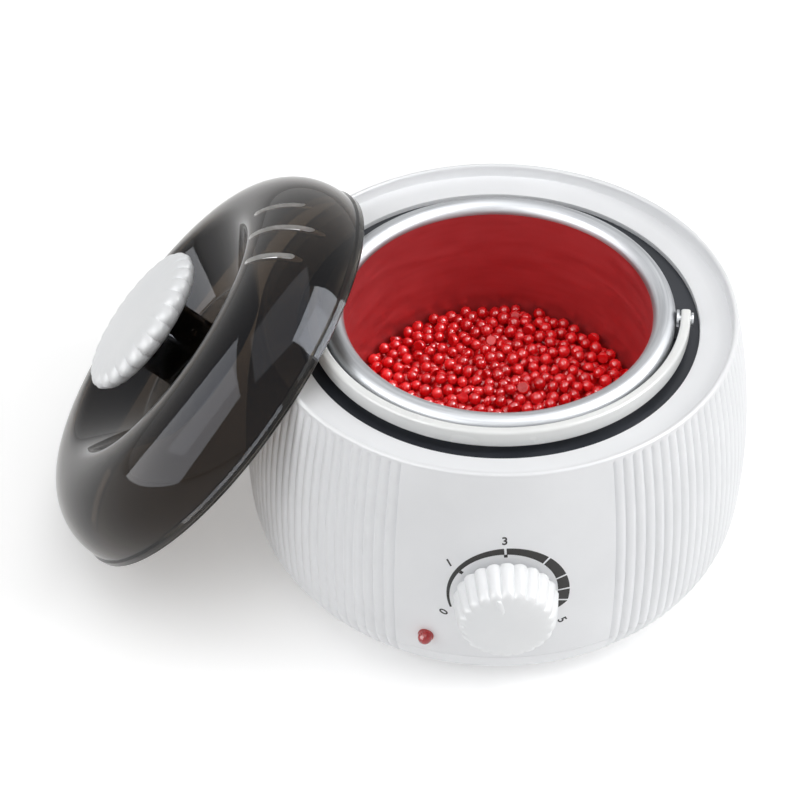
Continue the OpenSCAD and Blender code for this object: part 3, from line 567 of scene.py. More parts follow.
MATERIALS = {
    "housing_plastic": plastic("housing_plastic", srgb(233, 234, 236), srgb(239, 240, 242)),
    "base_plastic": plastic("base_plastic", srgb(226, 228, 230), srgb(234, 236, 238), (0.4, 0.55)),
    "knob_plastic": plastic("knob_plastic", srgb(234, 236, 238), srgb(242, 243, 244), (0.3, 0.33)),
    "bail_plastic": plastic("bail_plastic", srgb(232, 233, 232), srgb(241, 242, 241), (0.18, 0.3),
                            bump=0.02, coat=0.3),
    "foot_rubber": plastic("foot_rubber", srgb(44, 44, 46), srgb(58, 58, 60), (0.7, 0.9), 900, 0.3),
    "bowl_coating": plastic("bowl_coating", srgb(38, 41, 47), srgb(50, 53, 60), (0.34, 0.5),
                            1500, 0.2),
    "heater_mica": plastic("heater_mica", srgb(176, 163, 132), srgb(204, 194, 166), (0.6, 0.8)),
    "ceramic_white": plastic("ceramic_white", srgb(214, 211, 201), srgb(232, 229, 220), (0.5, 0.7)),
    "lead_sleeve": plastic("lead_sleeve", srgb(196, 188, 170), srgb(220, 212, 196), (0.7, 0.9)),
    "lead_red": plastic("lead_red", srgb(150, 34, 28), srgb(182, 48, 40), (0.4, 0.6)),
    "dial_print": plastic("dial_print", srgb(42, 41, 41), srgb(54, 53, 52), (0.5, 0.65), 1800, 0.1),
    "plated_steel": plain_metal("plated_steel", srgb(176, 179, 182), srgb(206, 208, 210)),
    "brass": plain_metal("brass", srgb(186, 150, 82), srgb(214, 180, 112)),
    "pot_aluminium": spun_metal("pot_aluminium", srgb(148, 150, 153), srgb(173, 175, 178), (0.42, 0.54)),
    "pot_inside": pot_inside_painted_reflection_material(),
    "wax_red": wax_material(),
    "lid_smoked": smoked_material("lid_smoked", srgb(55, 46, 36), srgb(63, 53, 42)),
    # The rim band's copy of the smoked plastic is lighter: painted light, standing for the light that the thin
    # band lets through from behind.
    "lid_rim_painted_light": smoked_material("lid_rim_painted_light", srgb(122, 117, 110), srgb(134, 129, 121)),
    # The slot walls' near-white colour is painted light.
    "lid_edge_painted_light": painted_light_edge_material(),
    "lamp_red": lamp_material(),
}


def dress_frame():
    """Gives every node of the frame the material of its slot."""
    slot_of = {p["node"]: p["material_slot"] for p in frame["record"]["subparts"]}
    for name, obj in frame["nodes"].items():
        obj.data.materials.clear()
        obj.data.materials.append(MATERIALS[slot_of[name]])


# Housing

BARREL_X = BARREL_R - BARREL_CURVE
CORNER_Z = BASE_Z + CORNER_R
CORNER_X = BARREL_X + math.sqrt((BARREL_CURVE - CORNER_R) ** 2 - (BELLY_Z - CORNER_Z) ** 2)
CORNER_TANGENT = math.atan2(CORNER_Z - BELLY_Z, CORNER_X - BARREL_X)
LIP_MID = RECESS_R + LIP_HALF
LIP_ROUND_Z = LIP_TOP - LIP_HALF


def barrel_at(z, inset=0.0):
    """Radius of the barrel's outline at a height, drawn in by an even amount."""
    if z >= CORNER_Z + (CORNER_R - inset) * math.sin(CORNER_TANGENT):
        return BARREL_X + math.sqrt((BARREL_CURVE - inset) ** 2 - (z - BELLY_Z) ** 2)
    return CORNER_X + math.sqrt(max(0, (CORNER_R - inset) ** 2 - (z - CORNER_Z) ** 2))


def rib_angles():
    """Angles round the barrel and the depth cut at each: rounded ribs, and a smooth panel."""
    pitch = math.radians((360 - 2 * PANEL_HALF) / RIB_COUNT)
    start, edge = math.radians(-90 + PANEL_HALF), math.radians(-90 - PANEL_HALF)
    angles = [start + pitch * (rib + k / RIB_STEPS)
              for rib in range(RIB_COUNT) for k in range(RIB_STEPS)]
    depths = scallop(RIB_DEPTH, BARREL_R * pitch / 2, RIB_STEPS) * RIB_COUNT
    angles.append(edge)
    depths.append(RIB_DEPTH)
    width = 2 * (PANEL_HALF - PANEL_EDGE)
    for k in range(PANEL_STEPS + 1):
        angles.append(edge + math.radians(PANEL_EDGE + width * k / PANEL_STEPS))
        depths.append(0.0)
    return angles, depths


def heights(z0, z1, step):
    """Even heights from one to the other, a step apart at most."""
    count = math.ceil((z1 - z0) / step)
    return [z0 + (z1 - z0) * i / count for i in range(count + 1)]


def housing_skin():
    """The barrel with its ribs, the lip and the ring, and its holes for bush, lamp and gland."""
    angles, depths = rib_angles()
    outer = [(barrel_at(SEAM_Z) - SEAM_BEVEL, SEAM_Z, 1),
             (barrel_at(SEAM_Z + SEAM_BEVEL), SEAM_Z + SEAM_BEVEL, 1)]
    outer += [(barrel_at(z), z, 1) for z in heights(SEAM_Z + 1.5, RIB_TOP, 3)]
    fade = [(0.6, 0.85), (1.2, 0.5), (1.8, 0.15), (2.3, 0)]
    outer += [(barrel_at(RIB_TOP + rise), RIB_TOP + rise, share) for rise, share in fade]
    ring_under = RING_Z - RING_T
    profile = outer + arc((LIP_MID, LIP_ROUND_Z), LIP_HALF, 8, 180, 15)
    profile += [(RECESS_R, RING_Z + 0.6), (RECESS_R - 0.2, RING_Z + 0.18),
                (RECESS_R - 0.7, RING_Z), (OPENING_R + 6, RING_Z), (OPENING_R + 0.5, RING_Z),
                (OPENING_R + 0.12, RING_Z - 0.14), (OPENING_R, RING_Z - 0.5),
                (OPENING_R, ring_under), (barrel_at(ring_under, WALL), ring_under)]
    profile += [(barrel_at(z, WALL), z) for z in heights(SEAM_Z, ring_under - 4, 6)[::-1]]
    obj = make_object("housing_shell", lathe(profile, angles, True, depths))
    front = turned(90, "X")
    seat = barrel_at(KNOB_Z) - BUSH_SEAT_DEEP
    bush_hole = lathe([(0, CUT_FROM), (BUSH_HOLE_R, CUT_FROM), (BUSH_HOLE_R, seat),
                       (BUSH_SEAT_R, seat), (BUSH_SEAT_R, CUT_TO), (0, CUT_TO)], even_angles(48))
    lamp_hole = round_bar(LAMP_R + LAMP_GAP, CUT_FROM, CUT_TO)
    gland_hole = round_bar(GLAND_HOLE_R, CUT_FROM, CUT_TO)
    carve(obj, joined(
        placed(bush_hole, moved(0, 0, KNOB_Z) @ front),
        placed(lamp_hole, turned(-LAMP_ANGLE, "Z") @ moved(0, 0, LAMP_Z) @ front),
        placed(gland_hole, moved(0, 0, middle_z("cord_gland")) @ turned(-90, "X"))))
    finish_piece(obj, "housing", MATERIALS["housing_plastic"], ["housing"])


def base_skin():
    """The base under the seam: its ribs fade out at the corner, and screws, feet and air pass it."""
    angles, depths = rib_angles()
    floor = BASE_Z + WALL
    profile = [(0, BASE_Z), (CORNER_X, BASE_Z)]
    for x, z in arc((CORNER_X, CORNER_Z), CORNER_R, -90, math.degrees(CORNER_TANGENT), 4):
        if z < SEAM_Z - 0.8:
            profile.append((x, z, min(1, max(0, (z - BASE_Z - RIB_START) / RIB_FADE))))
    profile += [(barrel_at(SEAM_Z - SEAM_BEVEL), SEAM_Z - SEAM_BEVEL, 1),
                (barrel_at(SEAM_Z) - SEAM_BEVEL, SEAM_Z, 1), (barrel_at(SEAM_Z, WALL), SEAM_Z)]
    inner = arc((CORNER_X, CORNER_Z), CORNER_R - WALL, -90, math.degrees(CORNER_TANGENT), 6)
    profile += [(x, z) for x, z in inner[::-1] if floor + 0.1 < z < SEAM_Z - 0.8]
    profile += [(CORNER_X, floor), (0, floor)]
    obj = make_object("base_shell", lathe(profile, angles, False, depths))
    at_screws = [turned(a, "Z") @ moved(SCREW_RING, 0, 0) for a in SCREW_ANGLES]
    at_feet = [turned(a, "Z") @ moved(FOOT_RING, 0, 0) for a in FOOT_ANGLES]
    at_vents = [turned((i + 0.5) * 360 / VENT_COUNT, "Z") for i in range(VENT_COUNT)]
    boss_hole = round_bar(BOSS_HOLE_R, BASE_Z - 1, floor + 1)
    foot_hole = round_bar(FOOT_HOLE_R, BASE_Z - 1, BASE_Z + 1)
    vent = block(VENT_FROM, VENT_TO, -VENT_HALF, VENT_HALF, BASE_Z - 1, floor + 1)
    carve(obj, joined(*[placed(boss_hole, m) for m in at_screws],
                      *[placed(foot_hole, m) for m in at_feet],
                      *[placed(vent, m) for m in at_vents]))
    boss = lathe([(BOSS_R, BASE_Z), (BOSS_R, SEAM_Z), (SCREW_HOLE_R, SEAM_Z),
                  (SCREW_HOLE_R, SCREW_SEAT_Z), (SCREW_HEAD_R, SCREW_SEAT_Z), (SCREW_HEAD_R, BASE_Z)],
                 even_angles(48), True)
    merge(obj, make_object("bosses", joined(*[placed(boss, m) for m in at_screws])))
    finish_piece(obj, "housing", MATERIALS["housing_plastic"], ["base_cover"])


def merge(obj, other):
    """Adds another object's mesh to an object."""
    work = bmesh.new()
    work.from_mesh(obj.data)
    work.from_mesh(other.data)
    work.to_mesh(obj.data)
    work.free()
    bpy.data.objects.remove(other)


# Control

def petals(lobes, steps, depth, radius):
    """Angles round a knob, with the cut of rounded lobes that meet in valleys."""
    return even_angles(lobes * steps), scallop(depth, math.pi * radius / lobes, steps) * lobes


def control_knob():
    """The fluted knob, hollow at its back, with a raised pointer near the edge of its face."""
    h, r = KNOB_FACE_Y - KNOB_BACK_Y, KNOB_R
    angles, depths = petals(KNOB_FLUTES, 10, FLUTE_DEPTH, r)
    side = [(r - 1.2, 0, 0.6), (r - 0.4, 0.3, 0.9), (r, 1.0, 1), (r - 0.2, 3, 1), (r - 0.6, 6, 1),
            (r - 1.1, 9, 1), (r - 1.7, h - 3, 0.95), (r - 2.2, h - 2, 0.8), (r - 3.0, h - 1.2, 0.55),
            (r - 4.2, h - 0.75, 0.3), (r - 6, h - 0.45, 0.1), (r - 8, h - 0.25), (r - 11, h - 0.08),
            (4, h), (0, h)]
    back = [(SHAFT_HOLE_R, h - 3), (SHAFT_HOLE_R, 6), (3.2, 5.6), (NUT_POCKET_R, 5.6),
            (NUT_POCKET_R, 2), (KNOB_HOLLOW_R, 2), (KNOB_HOLLOW_R, 0.1), (r - 2, 0, 0.5)]
    form = lathe([(0, h - 3)] + back + side, angles, False, depths)
    ridge_loops = []
    for k in range(9):
        t = k / 8
        x = POINTER_TAIL + (POINTER_REACH - POINTER_TAIL) * t
        half = POINTER_HALF * math.sqrt(max(0.04, 1 - (2 * t - 1) ** 4))
        top = h + 0.55 - 0.45 * t ** 2
        ridge_loops.append([(x, -half, h - 1.6), (x, -half, top - 0.5), (x, -half * 0.55, top - 0.1),
                            (x, 0, top), (x, half * 0.55, top - 0.1), (x, half, top - 0.5),
                            (x, half, h - 1.6)][::-1])
    ridge = placed(loft(ridge_loops), turned(POINTER_ANGLE, "Z"))
    obj = make_object("knob_cap", joined(form, ridge))
    obj.data.transform(moved(0, -KNOB_BACK_Y * MM, KNOB_Z * MM) @ turned(90, "X"))
    finish_piece(obj, "control", MATERIALS["knob_plastic"], ["control_knob"])


def lamp_lens():
    """A red dome on a short stem that passes through the wall, with a flange outside."""
    out = barrel_at(LAMP_Z)
    profile = [(0, out - WALL - 3), (LAMP_R, out - WALL - 3), (LAMP_R, out + 0.1),
               (LAMP_FLANGE_R, out + 0.15), (LAMP_FLANGE_R, out + 0.55), (LAMP_R, out + 0.7),
               (LAMP_R, out + LAMP_STEM)]
    profile += arc((0, out + LAMP_STEM), LAMP_R, 0, 84, 12)
    profile.append((0, out + LAMP_STEM + LAMP_R))
    form = placed(lathe(profile, even_angles(48)),
                  turned(-LAMP_ANGLE, "Z") @ moved(0, 0, LAMP_Z) @ turned(90, "X"))
    finish_piece(make_object("lamp_dome", form), "housing", MATERIALS["lamp_red"],
                 ["indicator_lens"])


def on_barrel(s, z, lift):
    """A point on the front panel, s millimetres right of its middle, lifted off the surface."""
    r = barrel_at(z) + lift
    a = math.radians(-90) + s / BARREL_R
    return r * math.cos(a), r * math.sin(a), z


def dial_strip(ends, inner, outer, steps):
    """A thin printed strip round the knob. Each pair holds its value at the strip's two ends:
    the angle, the inner radius and the outer radius."""
    loops = []
    for k in range(steps + 1):
        t = k / steps
        a, r0, r1 = [pair[0] + (pair[1] - pair[0]) * t for pair in (ends, inner, outer)]
        a = math.radians(a)
        flat = [(DIAL_X + r * math.cos(a), KNOB_Z + r * math.sin(a)) for r in (r0, r1)]
        loops.append([on_barrel(*flat[0], DIAL_SINK), on_barrel(*flat[1], DIAL_SINK),
                      on_barrel(*flat[1], DIAL_LIFT), on_barrel(*flat[0], DIAL_LIFT)])
    return loft(loops)


def dial_thickness(angle):
    """The dial's band widens from its low end on the left to its high end on the right."""
    t = (DIAL_START - angle) / (DIAL_START - DIAL_END)
    return DIAL_THIN + DIAL_WIDENS * min(1, max(0, t)) ** 1.05


def dial():
    """A band that widens round the knob, with short ticks and plain numbers."""
    bounds = (DIAL_START, *DIAL_GAPS, DIAL_END)
    forms = []
    for start, end in zip(bounds[::2], bounds[1::2]):
        inner = (DIAL_R - dial_thickness(start), DIAL_R - dial_thickness(end))
        end_width = DIAL_TIP if end == DIAL_END else dial_thickness(end)
        forms.append(dial_strip((start, end), inner, (DIAL_R, inner[1] + end_width),
                                max(2, int((start - end) / DIAL_STEP))))
    for angle in DIAL_TICKS:
        inside = DIAL_R - dial_thickness(angle)
        forms.append(dial_strip((angle + TICK_HALF, angle - TICK_HALF), [inside - TICK_TO] * 2,
                                [inside - TICK_FROM] * 2, 2))
    obj = make_object("dial_band", joined(*forms))
    finish_piece(obj, "housing", MATERIALS["dial_print"])
    for figure in FIGURES:
        dial_number(*figure)


def dial_number(number, angle, reach):
    """A plain printed figure, reach away from the dial's middle and turned half as far as it."""
    curve = bpy.data.curves.new("figure", "FONT")
    curve.body, curve.size = number, FIGURE_SIZE
    curve.align_x, curve.align_y = "CENTER", "CENTER"
    curve.resolution_u, curve.offset = 6, 0.09
    text = bpy.data.objects.new("figure", curve)
    bpy.context.scene.collection.objects.link(text)
    graph = bpy.context.evaluated_depsgraph_get()
    mesh = bpy.data.meshes.new_from_object(text.evaluated_get(graph))
    bpy.data.objects.remove(text)
    work = bmesh.new()
    work.from_mesh(mesh)
    bmesh.ops.remove_doubles(work, verts=work.verts, dist=0.001)
    bmesh.ops.triangulate(work, faces=work.faces)
    whole = bmesh.ops.extrude_face_region(work, geom=list(work.faces))
    raised = {v for v in whole["geom"] if isinstance(v, bmesh.types.BMVert)}
    a = math.radians(angle)
    turn = math.radians(angle - 90) * 0.5
    for v in work.verts:
        x = v.co.x * math.cos(turn) - v.co.y * math.sin(turn)
        y = v.co.x * math.sin(turn) + v.co.y * math.cos(turn)
        lift = DIAL_LIFT if v in raised else DIAL_SINK
        v.co = Vector(on_barrel(DIAL_X + reach * math.cos(a) + x,
                                KNOB_Z + reach * math.sin(a) + y, lift)) * MM
    bmesh.ops.recalc_face_normals(work, faces=work.faces)
    work.to_mesh(mesh)
    work.free()
    obj = bpy.data.objects.new("dial_number_" + number, mesh)
    bpy.context.scene.collection.objects.link(obj)
    finish_piece(obj, "housing", MATERIALS["dial_print"])


# Pot, wax and bail

def pot_shell():
    """The pot in one sheet of metal, from under its floor up to the rolled rim and down inside."""
    roll = (POT_R + ROLL_R, POT_TOP - ROLL_R)
    wall_r = POT_R + POT_T
    corner = (POT_R - POT_CORNER, POT_FLOOR + POT_CORNER)
    outer = [(0, POT_FLOOR - POT_T), (POT_R - POT_CORNER, POT_FLOOR - POT_T)]
    outer += arc(corner, POT_CORNER + POT_T, -90, 0)
    outer += [(wall_r, z) for z in (60, 80, 95, POT_BULGE_Z - 1)]
    outer += [(wall_r + POT_BULGE, POT_BULGE_Z), (wall_r, POT_BULGE_Z + 1), (wall_r, POT_BULGE_Z + 2)]
    outer += arc(roll, ROLL_R - POT_T, 180, ROLL_END, 8)
    tip = math.radians(ROLL_END)
    outer.append((roll[0] + (ROLL_R - POT_T / 2) * math.cos(tip) - 0.1,
                  roll[1] + (ROLL_R - POT_T / 2) * math.sin(tip) - 0.35))
    outer.append((roll[0] + ROLL_R * math.cos(tip), roll[1] + ROLL_R * math.sin(tip)))
    outer += arc(roll, ROLL_R, ROLL_END, 180, 6)
    inner = [(POT_R, z) for z in (107, 100, 90, 75, 60, 50)]
    inner += arc(corner, POT_CORNER, 0, -90)
    inner.append((0, POT_FLOOR))
    obj = make_object("pot_shell", lathe(outer + inner, even_angles(240)))
    finish_piece(obj, "pot",
                 [MATERIALS["pot_aluminium"], MATERIALS["pot_inside"]], ["pot"], 50)
    # Faces inside the pot take the red material, a painted reflection of the wax.
    for face in obj.data.polygons:
        if is_pot_inside(face):
            face.material_index = 1


def is_pot_inside(face):
    """Whether a face lies on the pot's inside, under its roll."""
    centre, normal = face.center, face.normal
    within = math.hypot(centre.x, centre.y) / MM < POT_R + 0.05
    under_roll = centre.z / MM < POT_TOP - ROLL_R - 0.5
    inward = normal.x * centre.x + normal.y * centre.y <= 1e-6 and normal.z > -0.5
    return within and under_roll and inward


def heap(x, y):
    """Height of the wax heap, a little higher at the middle and the back."""
    r = math.hypot(x, y) / POT_R
    return (WAX_TOP - HEAP_LOW - HEAP_FALL * r ** 2 + HEAP_WAVE * math.sin(x * 0.07 + 1)
            + HEAP_BACK * y / POT_R)


def drop_beads():
    """Drops beads one by one. Each rolls to the lowest place nearby and rests there.
    They rest at BEAD_NEAR of their radius, so that neighbours sink into each other a little."""
    draw = random.Random(11)
    half = int(POT_R / BEAD_CELL)
    axis = (np.arange(2 * half + 1) - half) * BEAD_CELL
    xs, ys = np.meshgrid(axis, axis, indexing="ij")
    ground = np.array([[heap(x, y) - HEAP_DEEP for y in axis] for x in axis])
    ground[np.hypot(xs, ys) > POT_R] = 1e3
    beads = []
    for _ in range(BEAD_DROPS):
        r = BEAD_R * BEAD_NEAR * draw.uniform(0.86, 1.08)
        reach = int(r / BEAD_CELL)
        span = np.arange(-reach, reach + 1) * BEAD_CELL
        dx, dy = np.meshgrid(span, span, indexing="ij")
        inside = dx ** 2 + dy ** 2 < r ** 2
        bowl = np.where(inside, np.sqrt(np.maximum(r ** 2 - dx ** 2 - dy ** 2, 0)), 0)
        angle, out = draw.uniform(0, 2 * math.pi), (POT_R - r - 0.6) * math.sqrt(draw.random())
        i = half + int(out * math.cos(angle) / BEAD_CELL)
        j = half + int(out * math.sin(angle) / BEAD_CELL)

        def rest(i, j):
            """Height at which the bead's centre rests over a cell, or None at the wall."""
            if np.hypot(axis[i], axis[j]) > POT_R - r - 0.4:
                return None
            patch = ground[i - reach:i + reach + 1, j - reach:j + reach + 1]
            return float(np.where(inside, patch + bowl, -1e3).max())

        here = rest(i, j)
        for _ in range(BEAD_ROLLS):
            options = []
            for di, dj in ((2, 0), (-2, 0), (0, 2), (0, -2), (1, 1), (-1, -1), (1, -1), (-1, 1)):
                there = rest(i + di, j + dj)
                if there is not None:
                    options.append((there, i + di, j + dj))
            best = min(options)
            if here is not None and best[0] >= here - 0.02:
                break
            here, i, j = best
        if here > heap(axis[i], axis[j]) + HEAP_OVER:
            continue
        patch = ground[i - reach:i + reach + 1, j - reach:j + reach + 1]
        np.maximum(patch, np.where(inside, here + bowl, -1e3), out=patch)
        beads.append((axis[i], axis[j], here, r / BEAD_NEAR))
    return beads, draw


def bead_form(r, flat):
    """A round bead, flattened a little, and cut flat on one side at a share of its radius."""
    rings, squat = 7, 0.9
    profile = [(0, -r * min(squat, flat))]
    for k in range(1, rings):
        a = math.radians(-90 + 180 * k / rings)
        profile.append((r * math.cos(a), max(r * math.sin(a) * squat, -r * flat)))
    profile.append((0, r * squat))
    return lathe(profile, even_angles(12))


def wax_heap():
    """Loose beads over a bed of wax that fills the pot beneath them."""
    beads, draw = drop_beads()
    forms = []
    for x, y, z, r in beads:
        flat = BEAD_CUT if draw.random() < BEAD_CUT_SHARE else 1.0
        form = bead_form(r, flat)
        spin = (turned(draw.uniform(0, 360), "Z") @ turned(draw.uniform(0, 180), "X")
                @ turned(draw.uniform(0, 360), "Y"))
        forms.append(placed(form, moved(x, y, z) @ spin))
    bed_r = POT_R - 0.5
    bed_z = POT_FLOOR + BED_RAISED
    rings = [0, 12, 24, 36, 46, 53, bed_r]
    bed = [(0, bed_z), (bed_r - POT_CORNER, bed_z)]
    bed += arc((bed_r - POT_CORNER, bed_z + POT_CORNER), POT_CORNER, -90, 0, 15)
    bed += [(r, WAX_TOP - BED_LOW - HEAP_FALL * (r / POT_R) ** 2) for r in rings[::-1]]
    obj = make_object("wax_beads", joined(*forms, lathe(bed, even_angles(72))))
    finish_piece(obj, "pot", MATERIALS["wax_red"], ["wax_fill"], 50)


def bail():
    """A half ring of even section with rounded edges, round ends and a bore for each pin."""
    mid_r = BAIL_R + BAIL_T / 2
    end = BAIL_W / 2 + 0.3
    round_end = [-end + 0.02, -end + 0.15, -end + 0.45, -end + 0.9, -end * 0.5, -end * 0.2]
    arc_length = math.pi * mid_r
    stations = round_end + [arc_length * k / BAIL_STEPS for k in range(BAIL_STEPS + 1)]
    stations += [arc_length - s for s in round_end[::-1]]
    loops = []
    for s in stations:
        beyond = max(-s, s - arc_length, 0)
        half = min(BAIL_W / 2, math.sqrt(max(0.0, end ** 2 - beyond ** 2)))
        a = math.pi + s / mid_r
        soft = min(BAIL_EDGE, half * 0.9, BAIL_T / 2 - 0.1)
        section = rounded_rectangle(BAIL_T / 2, half, soft, 4)
        loops.append([((mid_r + x) * math.cos(a), (mid_r + x) * math.sin(a), PIVOT_Z + z)
                      for x, z in section][::-1])
    turn = turned(-BAIL_TURN, "Z")
    obj = make_object("bail_strap", placed(loft(loops), turn))
    carve(obj, placed(round_bar(PIN_R + 0.06, -90, 90),
                      turn @ moved(0, 0, PIVOT_Z) @ turned(90, "Y")))
    finish_piece(obj, "bail", MATERIALS["bail_plastic"], ["bail_handle"], 40)


# Lid

def lid_place():
    """Where the leaning lid stands: its axis from the frame's joint, its rim from the washer."""
    joint = next(j for j in frame["joints"] if j["name"] == "lid_off")
    axis = Vector(joint["axis"]).normalized()
    washer = (low("lid_washer") + high("lid_washer")) / 2
    rim = washer - axis * (POST_H - LID_T - WASHER_T / 2)
    return Matrix.Translation(rim) @ turned(-LID_SIDE, "Z") @ turned(-LID_LEAN, "Y")


def lid_profile():
    """Outline of the upright lid's wall: band, shoulder, crest and well outside, the same inside."""
    band_r = LID_R - BAND_STEP
    dome_a, dome_b = band_r - CREST_R, LID_H - BAND_H
    top_r = ((dome_a - SHOULDER_R) ** 2 + dome_b ** 2 - SHOULDER_R ** 2) / (2 * (dome_b - SHOULDER_R))
    top_z = LID_H - top_r
    bend = math.degrees(math.atan2(BAND_H - top_z, dome_a - SHOULDER_R))
    shoulder, top = (band_r - SHOULDER_R, BAND_H), (CREST_R, top_z)
    brow = (CREST_R, LID_H - CREST_CURVE)
    slope = math.radians(WELL_SLOPE)
    well_in = CREST_R - CREST_CURVE * math.sin(slope)
    drop = LID_H - CREST_CURVE * (1 - math.cos(slope)) - WELL_H
    foot = well_in - drop / math.tan(slope)
    mitre = LID_T * math.tan(slope / 2)
    turn_in = WELL_FILLET * math.tan(slope / 2)
    well = 90 + WELL_SLOPE
    profile = [(LID_R - 0.35, 0), (LID_R, 0.35), (LID_R, BAND_H - BAND_STEP - 0.2),
               (LID_R - 0.15, BAND_H - BAND_STEP), (band_r, BAND_H)]
    profile += arc(shoulder, SHOULDER_R, 0, bend, 4) + arc(top, top_r, bend, 90, 2.5)
    profile += arc(brow, CREST_CURVE, 90, well, 5)
    profile.append((foot + turn_in * math.cos(slope), WELL_H + turn_in * math.sin(slope)))
    centre = (foot - turn_in, WELL_H + WELL_FILLET)
    profile += arc(centre, WELL_FILLET, -90 + WELL_SLOPE, -90, 8)
    profile += [(POST_SIDE * 0.8, WELL_H), (0, WELL_H), (0, WELL_H - LID_T),
                (POST_SIDE * 0.8, WELL_H - LID_T), (foot + mitre, WELL_H - LID_T)]
    profile += arc(brow, CREST_CURVE - LID_T, well, 90, 5)
    profile += arc(top, top_r - LID_T, 90, bend, 2.5) + arc(shoulder, SHOULDER_R - LID_T, bend, 0, 4)
    profile += [(band_r - LID_T, 0.3), (band_r - LID_T + 0.3, 0)]
    return profile


def lid_shell():
    """The lid with its hollow post, three slots through the crest and the holes of the post."""
    obj = make_object("lid_shell", lathe(lid_profile(), even_angles(240), True))
    half = POST_SIDE / 2
    outline = rounded_rectangle(half, half, POST_CORNER)
    foot = rounded_rectangle(half + POST_FLARE, half + POST_FLARE, POST_CORNER + 0.6)
    top = [(x * 0.985, y * 0.985) for x, y in outline]
    post = loft([level(foot, WELL_H - LID_T + 0.4), level(foot, WELL_H + 0.05),
                 level(outline, WELL_H + POST_FLARE), level(outline, POST_H - 0.4),
                 level(top, POST_H)])
    carve(obj, post, "UNION")
    inner = rounded_rectangle(half - LID_T, half - LID_T, POST_CORNER * 0.5)
    cuts = [loft([level(inner, 0.0), level(inner, POST_H - LID_T)])]
    for i, length in zip((-1, 0, 1), SLOT_LENGTHS):
        bar = stadium(length, SLOT_W)
        slot = loft([level(bar, SLOT_FLOOR), level(bar, LID_H + 8)])
        round_lid = SLOT_MID + i * SLOT_PITCH
        cuts.append(placed(slot, turned(round_lid, "Z") @ moved(SLOT_RING, 0, 0)
                           @ turned(SLOT_TURN - round_lid, "Z")))
    carve(obj, joined(*cuts))
    carve(obj, joined(round_bar(LID_SCREW_R, POST_H - LID_T - 1, POST_H + 5),
                      placed(round_bar(POST_HOLE_R, 7, 20),
                             moved(0, 0, POST_HOLE_Z) @ turned(90, "Y"))))
    # Rim band faces take the lighter smoked copy and slot walls the near-white edge, both painted light.
    kinds = [2 if is_rim(face) else int(is_slot_wall(face)) for face in obj.data.polygons]
    obj.data.transform(Matrix.Scale(MM, 4) @ lid_place() @ Matrix.Scale(1 / MM, 4))
    finish_piece(obj, "lid",
                 [MATERIALS[m] for m in ("lid_smoked", "lid_edge_painted_light", "lid_rim_painted_light")], ["lid_dome"], 30)
    obj.data.polygons.foreach_set("material_index", kinds)


def is_rim(face):
    """Whether a face of the upright lid lies on the straight band of its rim, which takes the lighter smoked copy
    that is painted light.
    """
    x, y, z = face.center / MM
    return z < BAND_H - 0.1 and math.hypot(x, y) > LID_R - LID_T - BAND_STEP - 0.5


def is_slot_wall(face):
    """Whether a face of the upright lid lies on the wall of a slot, which takes the near-white edge that is
    painted light.
    """
    x, y, z = face.center / MM
    r, angle = math.hypot(x, y), math.degrees(math.atan2(y, x))
    near = abs(r - SLOT_RING) < SLOT_REACH and abs(angle - SLOT_MID) < SLOT_SPREAD
    return near and z > SLOT_FLOOR and abs(face.normal.z) < 0.05


def lid_knob():
    """The scalloped disc on the post. Its lobes fade out towards the middle of its face."""
    h, r = LID_KNOB_T, LID_KNOB_R
    angles, depths = petals(LID_KNOB_LOBES, 14, LID_KNOB_VALLEY, r)
    profile = [(0, 7), (LID_KNOB_HOLE_R, 7), (LID_KNOB_HOLE_R, 0), (12, 0), (r - 6, 0.3, 0.2),
               (r - 3, 1.4, 0.6), (r - 1.2, 2.9, 0.9), (r - 0.3, 4.4, 1), (r, 5.4, 1), (r - 0.25, 6.4, 1),
               (r - 1.0, 7.4, 1), (r - 1.6, 7.95, 0.98), (r - 2.4, 8.45, 0.93), (r - 3.4, 8.85, 0.84),
               (r - 4.7, 9.2, 0.76), (r - 6.2, 9.48, 0.64), (r - 8, 9.72, 0.49), (r - 10, 9.93, 0.33),
               (r - 12, 10.1, 0.19), (r - 14, 10.24, 0.08), (r - 16, 10.34, 0), (r - 21, h - 0.04),
               (4, h), (0, h)]
    obj = make_object("lid_knob_cap", placed(lathe(profile, angles, False, depths),
                                             lid_place() @ moved(0, 0, POST_H)))
    finish_piece(obj, "lid", MATERIALS["knob_plastic"], ["lid_knob"], 60)


# Stage and lamps, in metres

def soft_lamp(name, place, target, size, watts, only_gloss=False):
    """A soft box. One for gloss alone gives no diffuse light, and shows as a reflection."""
    lamp = bpy.data.lights.new(name, "AREA")
    lamp.shape, lamp.size, lamp.size_y, lamp.energy = "RECTANGLE", size[0], size[1], watts
    obj = bpy.data.objects.new(name, lamp)
    obj.location = place
    obj.rotation_euler = (Vector(target) - Vector(place)).to_track_quat("-Z", "Y").to_euler()
    obj.visible_diffuse = not only_gloss
    bpy.context.scene.collection.objects.link(obj)


def white_for_camera(tree, plain, strength):
    """A strength that is plain for the light that the surface gives, and another where the
    camera, a reflection or a clear piece sees it."""
    path = tree.nodes.new("ShaderNodeLightPath")
    seen = path.outputs["Is Camera Ray"]
    for ray in ("Is Glossy Ray", "Is Transmission Ray"):
        add = tree.nodes.new("ShaderNodeMath")
        add.operation, add.use_clamp = "ADD", True
        tree.links.new(seen, add.inputs[0])
        tree.links.new(path.outputs[ray], add.inputs[1])
        seen = add.outputs[0]
    mix = tree.nodes.new("ShaderNodeMix")
    set_inputs(mix, {"A": plain, "B": strength})
    tree.links.new(seen, mix.inputs["Factor"])
    return mix.outputs["Result"]


